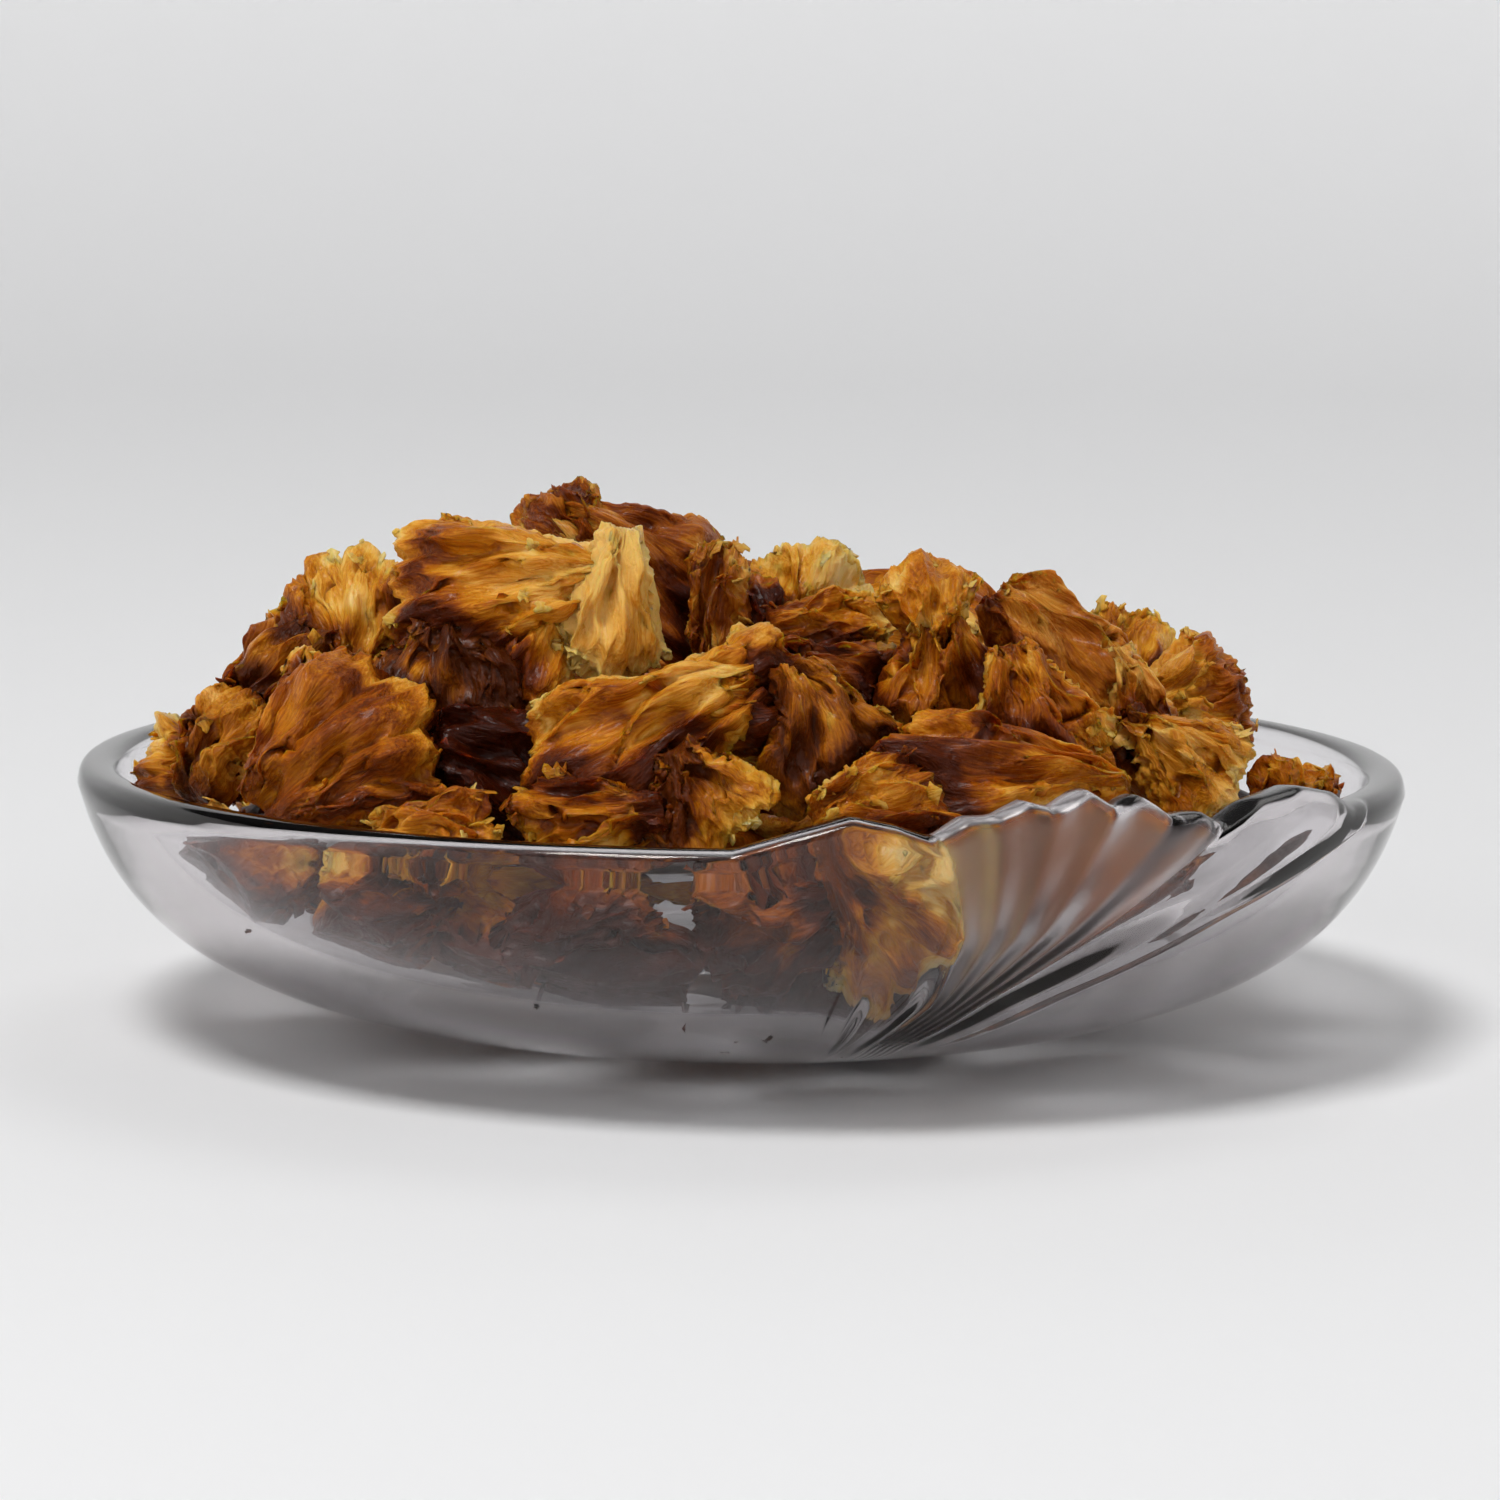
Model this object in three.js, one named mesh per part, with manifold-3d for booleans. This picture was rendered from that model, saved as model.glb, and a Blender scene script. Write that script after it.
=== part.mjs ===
// A shallow pressed-glass dish heaped with dried pineapple pieces. Millimetres, +Z up.
// The origin is the centre of the dish's flat foot, on the surface it stands on; -Y is the front.
// The dish has two scallop-shell fans on its rim, half a turn apart. Each pineapple piece is a wedge
// cut from a slice, core side to rind side, that has shrunk, curled and torn as it dried.
import * as THREE from "three";
import { mergeVertices } from "three/addons/utils/BufferGeometryUtils.js";
import Module from "manifold-3d";

const wasm = await Module();
wasm.setup();

// The dish's driving dimensions.
const RIM_RADIUS = 90;
const FOOT_RADIUS = 26;
const WIDEST_HEIGHT = 33.9;
const CREST_HEIGHT = 36.6;
const CREST_RADIUS = 87.5;
const INNER_RIM_RADIUS = 84.2;
const FLOOR_HEIGHT = 5.5;
// Middle control points [radius, height] of the outer and inner walls' Bezier curves.
const OUTER_BEND = [[67, 3.8], [84.3, 12]];
const INNER_BEND = [[64, 8.5], [78.5, 17]];
const WALL_STEPS = 8;
const INNER_STEPS = 4;

// The shell fan: rim angles in degrees from the front, and how far the crest rises there.
const SHELL_COUNT = 2;
const RIM_RISE = [
  [-0.4, 0], [4, 2.1], [8.6, 4.1], [12, 3], [15.2, 1.3],
  [17.7, 3.7], [20.2, 3.6], [22.7, 5.4], [25.4, 4.3], [28, 6.5],
  [31.1, 4], [33.1, 5.3], [36.8, 2.3], [39.5, 2.5], [42.7, 0.3],
  [47, 3], [51.8, 4], [57, 2.4], [60.5, 0], [63.3, 0],
];
const FAN_VALLEYS = [15.2, 20.2, 25.4, 31.1, 36.8, 42.7];
const FAN_START = FAN_VALLEYS[0];
const FAN_END = FAN_VALLEYS[FAN_VALLEYS.length - 1];
const SHELL_START = -0.4;
const LIP_FULL = 56;
const LIP_END = 63.3;
const STEP_WIDTH = 0.6;
const RISE_FROM = 24;
// The relief fades out down the wall: the flutes' from this height to none, and the lip's.
const FLUTE_FADE = [24, 2];
const LIP_FADE = 20;
const FLUTE_DEPTH = 1.5;
const LOBE_BULGE = 1.1;
const LIP_BULGE = 2.4;
const INNER_RELIEF = 0.5;
// The shell's four edges sweep round the wall: [height, lobe's start, fan's left, fan's right, lip's end].
const SWEEP = [
  [8.6, 7, 14, 18, 21.5],
  [16, 6, 17.5, 22.5, 28],
  [25, 3.5, 18.4, 30.5, 42],
  [33.9, 0.2, 16.6, 39, 61],
  [36.6, -0.4, 15.2, 42.7, 63.3],
];
const PLAIN_COLUMNS = 8;

// The dried fruit.
const PIECE_GAP = 0.3;
const WALL_GAP = 0.3;
const RADIAL_STEPS = 3;
// A wedge's outline: how much shorter the rind is at its sides and at a cleft, and longer at a lobe.
const SIDE_ROUNDING = 0.12;
const CLEFT_NOTCH = 0.1;
const LOBE_REACH = 0.1;
// Its thickness: how much is lost towards the rind, the core, the sides and the clefts.
const RIND_THINNING = 0.4;
const CORE_THINNING = 0.4;
const SIDE_THINNING = 0.35;
const CLEFT_THINNING = 0.3;
// Its unevenness: of the cut sides, of the thickness, and of the whole sheet, in millimetres.
const SIDE_RIPPLE = 0.1;
const SWELL_RIPPLE = 0.25;
const SHEET_WAVE = 1.3;

const lerp = (a, b, t) => a + (b - a) * t;
const clamp01 = (t) => Math.min(1, Math.max(0, t));
const smooth = (t) => clamp01(t) ** 2 * (3 - 2 * clamp01(t));
const radians = (degrees) => (degrees * Math.PI) / 180;

// Straight-line interpolation in a list of x values and a list of y values.
function along(x, xs, ys) {
  if (x <= xs[0]) return ys[0];
  for (let i = 1; i < xs.length; i += 1) {
    if (x <= xs[i]) return lerp(ys[i - 1], ys[i], (x - xs[i - 1]) / (xs[i] - xs[i - 1]));
  }
  return ys[ys.length - 1];
}

function bezier(start, bend, end, steps) {
  const curve = new THREE.CubicBezierCurve(
    new THREE.Vector2(...start), new THREE.Vector2(...bend[0]),
    new THREE.Vector2(...bend[1]), new THREE.Vector2(...end),
  );
  return curve.getPoints(steps);
}

// The wall's outline from the foot's centre up the outside, over the lip and down to the floor's centre.
// grow thickens it on the inside, for the room that the fruit leaves free.
function dishOutline(grow) {
  const outer = bezier([FOOT_RADIUS, 0], OUTER_BEND, [RIM_RADIUS, WIDEST_HEIGHT], WALL_STEPS);
  const lip = [
    new THREE.Vector2(RIM_RADIUS - 0.5, WIDEST_HEIGHT + 1.8),
    new THREE.Vector2(CREST_RADIUS + 0.7, CREST_HEIGHT + grow),
    new THREE.Vector2(CREST_RADIUS - 1.6 - grow, CREST_HEIGHT - 0.1 + grow),
    new THREE.Vector2(INNER_RIM_RADIUS + 0.4 - grow, WIDEST_HEIGHT + 1.6 + grow),
  ];
  const inner = bezier(
    [FOOT_RADIUS, FLOOR_HEIGHT + grow],
    INNER_BEND.map(([radius, height]) => [radius - grow, height + grow]),
    [INNER_RIM_RADIUS - grow, WIDEST_HEIGHT], INNER_STEPS,
  ).reverse();
  const footCentre = new THREE.Vector2(0, 0);
  const floorCentre = new THREE.Vector2(0, FLOOR_HEIGHT + grow);
  return { points: [footCentre, ...outer, ...lip, ...inner, floorCentre], outsideRows: outer.length + 2 };
}

// A column's angle at a height: the shell's lines sweep round to meet low on the wall.
function sweptAngle(rimAngle, height) {
  const heights = SWEEP.map(([h]) => h);
  const edges = [1, 2, 3, 4].map((k) => along(height, heights, SWEEP.map((row) => row[k])));
  const pitch = 360 / SHELL_COUNT;
  const rimEdges = SWEEP[SWEEP.length - 1].slice(1);
  return along(rimAngle, [...rimEdges, pitch + rimEdges[0]], [...edges, pitch + edges[0]]);
}

// How far the shell stands out of the plain wall, at a rim angle and a height.
function shellRelief(rimAngle, height) {
  const [full, none] = FLUTE_FADE;
  const fade = smooth((height - none) / (full - none));
  if (rimAngle <= SHELL_START || rimAngle >= LIP_END + STEP_WIDTH) return 0;
  if (rimAngle < FAN_START) {
    const across = (rimAngle - SHELL_START) / (FAN_START - SHELL_START);
    return LOBE_BULGE * Math.sin(Math.PI * across) * fade;
  }
  if (rimAngle <= FAN_END) {
    const k = FAN_VALLEYS.findIndex((valley) => rimAngle <= valley) || 1;
    const across = (rimAngle - FAN_VALLEYS[k - 1]) / (FAN_VALLEYS[k] - FAN_VALLEYS[k - 1]);
    return FLUTE_DEPTH * Math.sin(Math.PI * across) * fade;
  }
  const step = 1 - clamp01((rimAngle - LIP_END) / STEP_WIDTH);
  const lipFade = smooth(height / LIP_FADE);
  return LIP_BULGE * smooth((rimAngle - FAN_END) / (LIP_FULL - FAN_END)) * step * lipFade;
}

// The rim angles of the mesh's columns for one shell and the plain wall after it.
function shellColumns() {
  const shell = [];
  RIM_RISE.forEach(([angle], i) => {
    shell.push(angle);
    if (angle >= FAN_START && angle < FAN_END) shell.push((angle + RIM_RISE[i + 1][0]) / 2);
  });
  const start = LIP_END + STEP_WIDTH;
  shell.push(start);
  const end = 360 / SHELL_COUNT + SHELL_START;
  for (let i = 1; i < PLAIN_COLUMNS; i += 1) shell.push(lerp(start, end, i / PLAIN_COLUMNS));
  return shell;
}

// The dish as a closed surface: its outline turned round the axis and moved out and up by the relief,
// which keeps its full depth on the outer wall alone.
function glassDish(grow) {
  const { points, outsideRows } = dishOutline(grow);
  const columns = [];
  for (let k = 0; k < SHELL_COUNT; k += 1) {
    shellColumns().forEach((angle) => columns.push({ angle, turn: (360 / SHELL_COUNT) * k }));
  }
  columns.push({ angle: columns[0].angle, turn: 360 });
  const lathe = new THREE.LatheGeometry(points, columns.length - 1);
  const position = lathe.getAttribute("position");
  const riseAngles = RIM_RISE.map(([angle]) => angle);
  const rises = RIM_RISE.map(([, rise]) => rise);
  columns.forEach(({ angle, turn }, i) => {
    points.forEach(({ x, y }, j) => {
      const share = smooth((y - RISE_FROM) / (CREST_HEIGHT - RISE_FROM));
      const relief = shellRelief(angle, y) * (j < outsideRows ? 1 : INNER_RELIEF * share);
      const radius = x + (x > FOOT_RADIUS ? relief : 0);
      const theta = radians(turn + sweptAngle(angle, y));
      const z = y + along(angle, riseAngles, rises) * share;
      position.setXYZ(i * points.length + j, radius * Math.sin(theta), -radius * Math.cos(theta), z);
    });
  });
  return closed(lathe);
}

// One closed surface with its shared vertices merged and no vertex used twice.
function closed(geometry) {
  geometry.deleteAttribute("normal");
  geometry.deleteAttribute("uv");
  const merged = mergeVertices(geometry, 1e-3);
  const triangles = [];
  const index = merged.index.array;
  for (let i = 0; i < index.length; i += 3) {
    const [a, b, c] = [index[i], index[i + 1], index[i + 2]];
    if (a !== b && b !== c && c !== a) triangles.push(a, b, c);
  }
  merged.setIndex(triangles);
  return merged;
}

function toSolid(geometry) {
  const merged = closed(geometry);
  return new wasm.Manifold(new wasm.Mesh({
    numProp: 3,
    vertProperties: new Float32Array(merged.getAttribute("position").array),
    triVerts: new Uint32Array(merged.index.array),
  }));
}

function toGeometry(solid) {
  const mesh = solid.getMesh();
  const geometry = new THREE.BufferGeometry();
  geometry.setAttribute("position", new THREE.BufferAttribute(new Float32Array(mesh.vertProperties), 3));
  geometry.setIndex(new THREE.BufferAttribute(new Uint32Array(mesh.triVerts), 1));
  return geometry;
}

// A repeatable draw between 0 and 1.
function draw(k) {
  const s = Math.sin(k * 12.9898) * 43758.5453;
  return s - Math.floor(s);
}

// A slow ripple of two variables, different for each seed.
function ripple(seed, s, t) {
  const phase = (k) => (seed * k * 2.399) % (2 * Math.PI);
  return (
    0.5 * Math.sin(1.7 * s + 2.3 * t + phase(1)) +
    0.3 * Math.sin(3.1 * s - 1.9 * t + phase(2)) +
    0.2 * Math.sin(-4.3 * s + 5.1 * t + phase(3))
  );
}

// A point bent round an axis: a total turn in degrees over a length, upwards at both ends.
function bend(distance, height, turn, length) {
  const curve = radians(turn) / length;
  if (Math.abs(curve) < 1e-6) return [distance, height];
  return [
    Math.sin(curve * distance) * (1 / curve - height),
    (1 - Math.cos(curve * distance)) / curve + height * Math.cos(curve * distance),
  ];
}

// How a wedge's outline and thickness swell in lobes from side to side, with a cleft between each two:
// v runs from -1 to 1, and a lobe has its number, its fullness from 0 to 1 and its own lift and reach.
function lobeAt(v, folds, seed) {
  const place = ((v + 1) / 2 + 0.05 * Math.sin(3.3 * v + seed)) * folds;
  const number = Math.min(folds - 1, Math.max(0, Math.floor(place)));
  const full = Math.sin(Math.PI * clamp01(place - number)) ** 0.5;
  return { full, lift: 2 * draw(seed + 7 * number) - 1, reach: 2 * draw(seed + 3.7 * number + 0.5) - 1 };
}

// One wedge of dried pineapple in its own frame: +X from core to rind, +Z out of the cut face.
// grow makes it larger all round, for the hollow it presses into its neighbours.
function wedge(shape, grow) {
  const { core, reach, spread, thick, curl = [0, 0], twist = 0, pleat = 2, folds = 4, seed } = shape;
  const [steps, columns] = shape.cells ?? [RADIAL_STEPS, 2 * folds + 2];
  const box = new THREE.BoxGeometry(2, 2, 2, steps, columns, 1);
  const position = box.getAttribute("position");
  const half = radians(spread) / 2;
  for (let i = 0; i < position.count; i += 1) {
    const u = (position.getX(i) + 1) / 2;
    const v = position.getY(i);
    const side = position.getZ(i);
    const lobe = lobeAt(v, folds, seed);
    const cleft = 1 - lobe.full;
    const outline = SIDE_ROUNDING * v * v + CLEFT_NOTCH * cleft - LOBE_REACH * lobe.reach * lobe.full;
    const rind = core + reach * (1 - outline);
    const radius = lerp(core - grow, rind + grow, u);
    const angle = v * (half * (1 + SIDE_RIPPLE * ripple(seed + 1, 3 * u, 1)) + grow / radius);
    const rindEnd = 1 - RIND_THINNING * u ** 5;
    const coreEnd = 1 - CORE_THINNING * (1 - smooth(4 * u));
    const sides = 1 - SIDE_THINNING * v ** 6;
    const clefts = 1 - CLEFT_THINNING * cleft * smooth(1.8 * u);
    const swell = 1 + SWELL_RIPPLE * ripple(seed + 2, 4 * v, 4 * u);
    const depth = (thick / 2) * rindEnd * coreEnd * sides * clefts * swell + grow;
    const fold = pleat * lobe.lift * lobe.full * u ** 1.5 * (1 - 0.6 * v ** 4);
    const wave = fold + SHEET_WAVE * ripple(seed + 3, 2.4 * u, 2.2 * v);
    const x = radius * Math.cos(angle) - core - reach / 2;
    const y = radius * Math.sin(angle);
    const width = 2 * (core + reach) * Math.sin(half);
    const [bentX, lift] = bend(x, wave + side * depth, curl[0], reach);
    const [bentY, z] = bend(y, lift, curl[1], width);
    const roll = radians(twist) * (bentX / reach);
    position.setXYZ(
      i, bentX, bentY * Math.cos(roll) - z * Math.sin(roll), bentY * Math.sin(roll) + z * Math.cos(roll),
    );
  }
  return box;
}

// The turn that faces a wedge's +Z towards an azimuth (0 is the front, 90 the right) and elevation,
// with the fan spreading at an angle from the horizontal, seen from where it faces.
function facing([azimuth, elevation], fan) {
  const a = radians(azimuth);
  const e = radians(elevation);
  const normal = new THREE.Vector3(Math.sin(a) * Math.cos(e), -Math.cos(a) * Math.cos(e), Math.sin(e));
  const right = new THREE.Vector3(Math.cos(a), Math.sin(a), 0);
  const up = new THREE.Vector3().crossVectors(normal, right);
  const outward = right.multiplyScalar(Math.cos(radians(fan))).addScaledVector(up, Math.sin(radians(fan)));
  const across = new THREE.Vector3().crossVectors(normal, outward);
  return new THREE.Matrix4().makeBasis(outward, across, normal);
}

function placed(shape, grow) {
  return toSolid(wedge(shape, grow).applyMatrix4(facing(shape.face, shape.fan)).translate(...shape.at));
}

// A whole piece: its main wedge with any torn or folded flaps that hang on it.
function whole(piece, grow) {
  return (piece.flaps ?? []).reduce((solid, flap) => solid.add(placed(flap, grow)), placed(piece, grow));
}

// The pieces that show, in the order in which they keep their shape where two press together.
const HEAP = [
  {
    name: "crest_fan", at: [-32, -30, 61.5], face: [-8, 14], fan: 190, core: 8, reach: 28, spread: 46,
    thick: 14, curl: [-15, -25], twist: 8, folds: 4, cells: [4, 10], seed: 1,
    flaps: [
      {
        at: [-17, -33, 59], face: [14, 6], fan: -97, core: 8, reach: 22, spread: 38, thick: 10,
        folds: 3, seed: 101,
      },
      {
        at: [-27, -34, 54], face: [0, 10], fan: -112, core: 5, reach: 12, spread: 48, thick: 7,
        folds: 2, seed: 102,
      },
    ],
  },
  {
    name: "top_fold", at: [-15.5, -10, 62.5], face: [10, 30], fan: -38, core: 8, reach: 28, spread: 46,
    thick: 12, curl: [-35, -40], twist: 10, folds: 4, cells: [4, 10], seed: 2,
    flaps: [
      {
        at: [-24, -10, 69], face: [0, 20], fan: 125, core: 4, reach: 11, spread: 60, thick: 8,
        folds: 2, seed: 103,
      },
    ],
  },
  {
    name: "top_shards", at: [-3, -20, 60], face: [-25, 10], fan: 92, core: 12, reach: 18, spread: 22,
    thick: 8, curl: [15, 20], twist: 10, folds: 2, seed: 3,
    flaps: [
      {
        at: [2, -18, 58], face: [20, 15], fan: 78, core: 8, reach: 13, spread: 26, thick: 7, folds: 2,
        seed: 104,
      },
    ],
  },
  {
    name: "round_fan", at: [8.5, -9, 59.5], face: [5, 18], fan: 76, core: 3, reach: 15, spread: 80,
    thick: 8, curl: [10, -15], folds: 4, cells: [4, 10], seed: 4,
  },
  {
    name: "amber_band", at: [12, -20, 55.5], face: [5, 30], fan: 4, core: 22, reach: 18, spread: 18,
    thick: 10, curl: [60, -20], folds: 3, seed: 5,
  },
  {
    name: "centre_fan", at: [-13, -50, 44], face: [-6, 22], fan: 210, core: 8, reach: 33, spread: 42,
    thick: 14, curl: [-20, -30], twist: -10, folds: 4, cells: [4, 10], seed: 6,
    flaps: [
      {
        at: [0, -46, 50], face: [8, 28], fan: 15, core: 6, reach: 19, spread: 56, thick: 11, folds: 3,
        seed: 105,
      },
    ],
  },
  {
    name: "centre_lobe", at: [10, -49, 45.5], face: [28, 18], fan: -72, core: 5, reach: 18, spread: 64,
    thick: 12, curl: [-20, -40], folds: 3, seed: 7,
  },
  {
    name: "rim_curl", at: [-5, -58, 38.5], face: [-8, 12], fan: -62, core: 5, reach: 14, spread: 66,
    thick: 7, curl: [45, 35], folds: 3, seed: 8,
  },
  {
    name: "lower_lip", at: [-19, -58, 36], face: [-6, 30], fan: 184, core: 10, reach: 20, spread: 28,
    thick: 8, curl: [30, -10], folds: 3, seed: 9,
  },
  {
    name: "tall_knob", at: [26, -31, 51], face: [8, 10], fan: -86, core: 6, reach: 17, spread: 56,
    thick: 12, curl: [-15, -25], folds: 4, cells: [4, 10], seed: 10,
    flaps: [
      {
        at: [24, -30, 61], face: [0, 8], fan: 96, core: 3, reach: 12, spread: 66, thick: 13, folds: 3,
        seed: 106,
      },
    ],
  },
  {
    name: "ridge_fan", at: [42, -25, 52.5], face: [12, 22], fan: -48, core: 8, reach: 24, spread: 42,
    thick: 15, curl: [-20, -45], twist: 6, folds: 4, cells: [4, 10], seed: 11,
    flaps: [
      {
        at: [51, -28, 48], face: [10, 15], fan: -76, core: 10, reach: 14, spread: 26, thick: 10,
        folds: 2, seed: 107,
      },
    ],
  },
  {
    name: "front_fan", at: [37, -42, 47], face: [5, 30], fan: -76, core: 4, reach: 19, spread: 68,
    thick: 11, curl: [-10, -30], folds: 4, cells: [4, 10], seed: 12,
  },
  {
    name: "long_wedge", at: [33, -53, 41], face: [6, 36], fan: 172, core: 4, reach: 31, spread: 34,
    thick: 12, curl: [20, -30], twist: 8, folds: 3, cells: [4, 8], seed: 13,
  },
  {
    name: "frill_bits", at: [18, -61, 38.5], face: [0, 32], fan: 18, core: 7, reach: 17, spread: 50,
    thick: 11, curl: [10, 20], folds: 3, seed: 14,
  },
  {
    name: "left_block", at: [-51, -44, 42.5], face: [-12, 18], fan: 42, core: 9, reach: 24, spread: 58,
    thick: 17, curl: [-18, -30], twist: -6, folds: 5, cells: [4, 12], seed: 15,
  },
  {
    name: "left_tip", at: [-73, -24, 37], face: [-25, 32], fan: 178, core: 6, reach: 16, spread: 42,
    thick: 10, curl: [10, -15], folds: 3, seed: 16,
  },
  {
    name: "left_olive", at: [-67, -29, 41], face: [-30, 25], fan: 78, core: 6, reach: 16, spread: 46,
    thick: 12, curl: [20, -30], folds: 3, seed: 17,
  },
  {
    name: "pale_frill", at: [-52, -17, 56.5], face: [-10, 18], fan: 100, core: 4, reach: 18,
    spread: 74, thick: 10, curl: [-15, 25], pleat: 3, folds: 4, cells: [4, 10], seed: 18,
  },
  {
    name: "mid_olive", at: [-60, -22, 49], face: [-30, 22], fan: 48, core: 6, reach: 16, spread: 44,
    thick: 11, curl: [-10, -20], folds: 3, seed: 19,
  },
  {
    name: "left_back_knob", at: [-60, -1, 47], face: [-28, 20], fan: 58, core: 5, reach: 20,
    spread: 56, thick: 20, curl: [-15, -30], folds: 3, seed: 20,
  },
  {
    name: "right_back_fan", at: [53, 0, 50], face: [10, 25], fan: 58, core: 5, reach: 15, spread: 58,
    thick: 8, curl: [10, -15], folds: 3, seed: 21,
  },
  {
    name: "right_knob", at: [61, -10, 46.5], face: [22, 20], fan: 12, core: 5, reach: 17, spread: 62,
    thick: 14, curl: [15, -30], folds: 3, seed: 22,
  },
  {
    name: "right_rag", at: [57, -35, 40], face: [10, 30], fan: -40, core: 6, reach: 20, spread: 46,
    thick: 11, curl: [10, 25], pleat: 3, folds: 4, seed: 23,
  },
  {
    name: "right_cube", at: [74, -13, 34.5], face: [20, 35], fan: 90, core: 5, reach: 9, spread: 64,
    thick: 11, folds: 2, seed: 24,
  },
  {
    name: "dark_strip", at: [10, -29, 50], face: [5, 45], fan: -12, core: 10, reach: 20, spread: 30,
    thick: 10, curl: [10, 20], folds: 3, seed: 25,
  },
  {
    name: "inner_rag", at: [-38, -34.5, 50.5], face: [-5, 20], fan: -88, core: 6, reach: 16, spread: 74,
    thick: 8, pleat: 3, folds: 3, seed: 26,
  },
  {
    name: "inner_dark", at: [-32, -40, 39.5], face: [5, 25], fan: -25, core: 6, reach: 22, spread: 50,
    thick: 12, curl: [-10, -20], folds: 3, seed: 27,
  },
  {
    name: "rim_chip", at: [-38, -64, 34], face: [-25, 38], fan: 4, core: 8, reach: 15, spread: 38,
    thick: 10, curl: [-10, -20], folds: 3, seed: 28,
  },
  {
    name: "glass_fan", at: [-43, -58, 24], face: [-38, -25], fan: 195, core: 6, reach: 22, spread: 46,
    thick: 11, curl: [-15, -35], folds: 3, seed: 29,
    flaps: [
      {
        at: [-31, -63, 22], face: [-28, -22], fan: -32, core: 12, reach: 18, spread: 24, thick: 10,
        folds: 2, seed: 108,
      },
    ],
  },
  {
    name: "glass_left", at: [-62, -42, 27], face: [-55, -20], fan: 172, core: 8, reach: 24, spread: 28,
    thick: 10, curl: [0, -30], folds: 3, seed: 30,
  },
  {
    name: "glass_chip", at: [-18, -66, 21.5], face: [-15, -25], fan: -4, core: 7, reach: 25, spread: 44,
    thick: 11, curl: [0, -20], folds: 3, seed: 31,
  },
  {
    name: "glass_centre", at: [4, -68, 25], face: [4, -22], fan: 208, core: 6, reach: 22, spread: 48,
    thick: 12, curl: [0, -30], folds: 3, seed: 32,
  },
  {
    name: "rind_slice", at: [19, -69, 27], face: [16, -16], fan: -40, core: 4, reach: 19, spread: 74,
    thick: 11, curl: [0, -20], folds: 4, seed: 33,
  },
  {
    name: "glass_lumps", at: [9, -60, 14], face: [8, -40], fan: 10, core: 6, reach: 20, spread: 50,
    thick: 11, curl: [0, -20], folds: 3, seed: 34,
  },
];

// Arcs of pieces that lie below and behind the ones that show, at their angles from the front. tip
// leans a piece's upper face towards the heap's middle, or away from it where it is negative.
const ARCS = [
  { name: "floor", angles: [30, 150, 270], radius: 27, height: 12.5, tip: 4, size: 1.35, cells: [2, 5] },
  {
    name: "wall", angles: [42, 84, 126, 168, 210, 252, 294],
    radius: 60, height: 24, tip: 30, size: 1.25, cells: [2, 6],
  },
  { name: "inner", angles: [-20, 70, 160, 250], radius: 27, height: 26, tip: 8, size: 1.25, cells: [2, 5] },
  {
    name: "back_rim", angles: [104, 149, 198, 251],
    radius: 57, height: 37, tip: -24, size: 1.2, cells: [3, 7],
  },
  { name: "middle", angles: [15, 105, 195, 285], radius: 24, height: 40, tip: 12, size: 1.2, cells: [3, 6] },
  { name: "back", angles: [126, 182, 238], radius: 36, height: 50, tip: -34, size: 1.2, cells: [3, 8] },
];

function arcPieces({ name, angles, radius, height, tip, size, cells }, arc) {
  return angles.map((angle, i) => {
    const seed = 40 + 10 * arc + i;
    const around = angle + 6 * (draw(seed) - 0.5);
    const a = radians(around);
    const out = radius + 4 * (draw(seed + 0.2) - 0.5);
    return {
      name: `${name}_piece_${i + 1}`,
      at: [out * Math.sin(a), -out * Math.cos(a), height + 2 * (draw(seed + 0.4) - 0.5)],
      face: [around + 180, 90 - tip],
      fan: 360 * draw(seed + 0.6),
      core: 6 * size, reach: 28 * size, spread: 56, thick: 12 * size,
      curl: [-18, -25], twist: 12 * (draw(seed + 0.8) - 0.5), folds: 3, cells, seed,
    };
  });
}

const AMBER = new THREE.MeshStandardMaterial({ color: 0xb8701c, roughness: 0.45, metalness: 0 });
const GLASS = new THREE.MeshStandardMaterial({
  color: 0xe8edf0, roughness: 0.04, metalness: 0, transparent: true, opacity: 0.35,
});

function named(name, geometry, material) {
  const mesh = new THREE.Mesh(geometry, material);
  mesh.name = name;
  return mesh;
}

// Every piece, each cut back where it would press into the glass or into a piece before it.
function heap() {
  const glass = toSolid(glassDish(WALL_GAP));
  const kept = [];
  for (const piece of [...HEAP, ...ARCS.flatMap(arcPieces)]) {
    const uncut = whole(piece, 0);
    const cut = kept.reduce((solid, before) => solid.subtract(before.room), uncut.subtract(glass));
    const [largest] = cut.decompose().sort((a, b) => b.volume() - a.volume());
    kept.push({ name: piece.name, solid: largest, room: whole(piece, PIECE_GAP).add(uncut) });
  }
  return kept.map(({ name, solid }) => named(name, toGeometry(solid), AMBER));
}

const bowlOfPineapple = new THREE.Group();
bowlOfPineapple.name = "bowl_of_dried_pineapple";
bowlOfPineapple.add(named("glass_dish", glassDish(0), GLASS), ...heap());

export default bowlOfPineapple;
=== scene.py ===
"""The looks of a pressed-glass dish heaped with dried pineapple pieces.

Every piece of fruit is a wedge of a pineapple slice, core side to rind side, that shrank, curled and tore
as it dried. Sizes in the tables are millimetres and degrees; meshes are written in metres.
"""

import logging
import math
from dataclasses import dataclass, field, replace
from enum import Enum
from typing import Iterable, Sequence

import bmesh
import bpy
import numpy as np
from mathutils import Matrix, Vector
from mathutils.bvhtree import BVHTree


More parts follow.
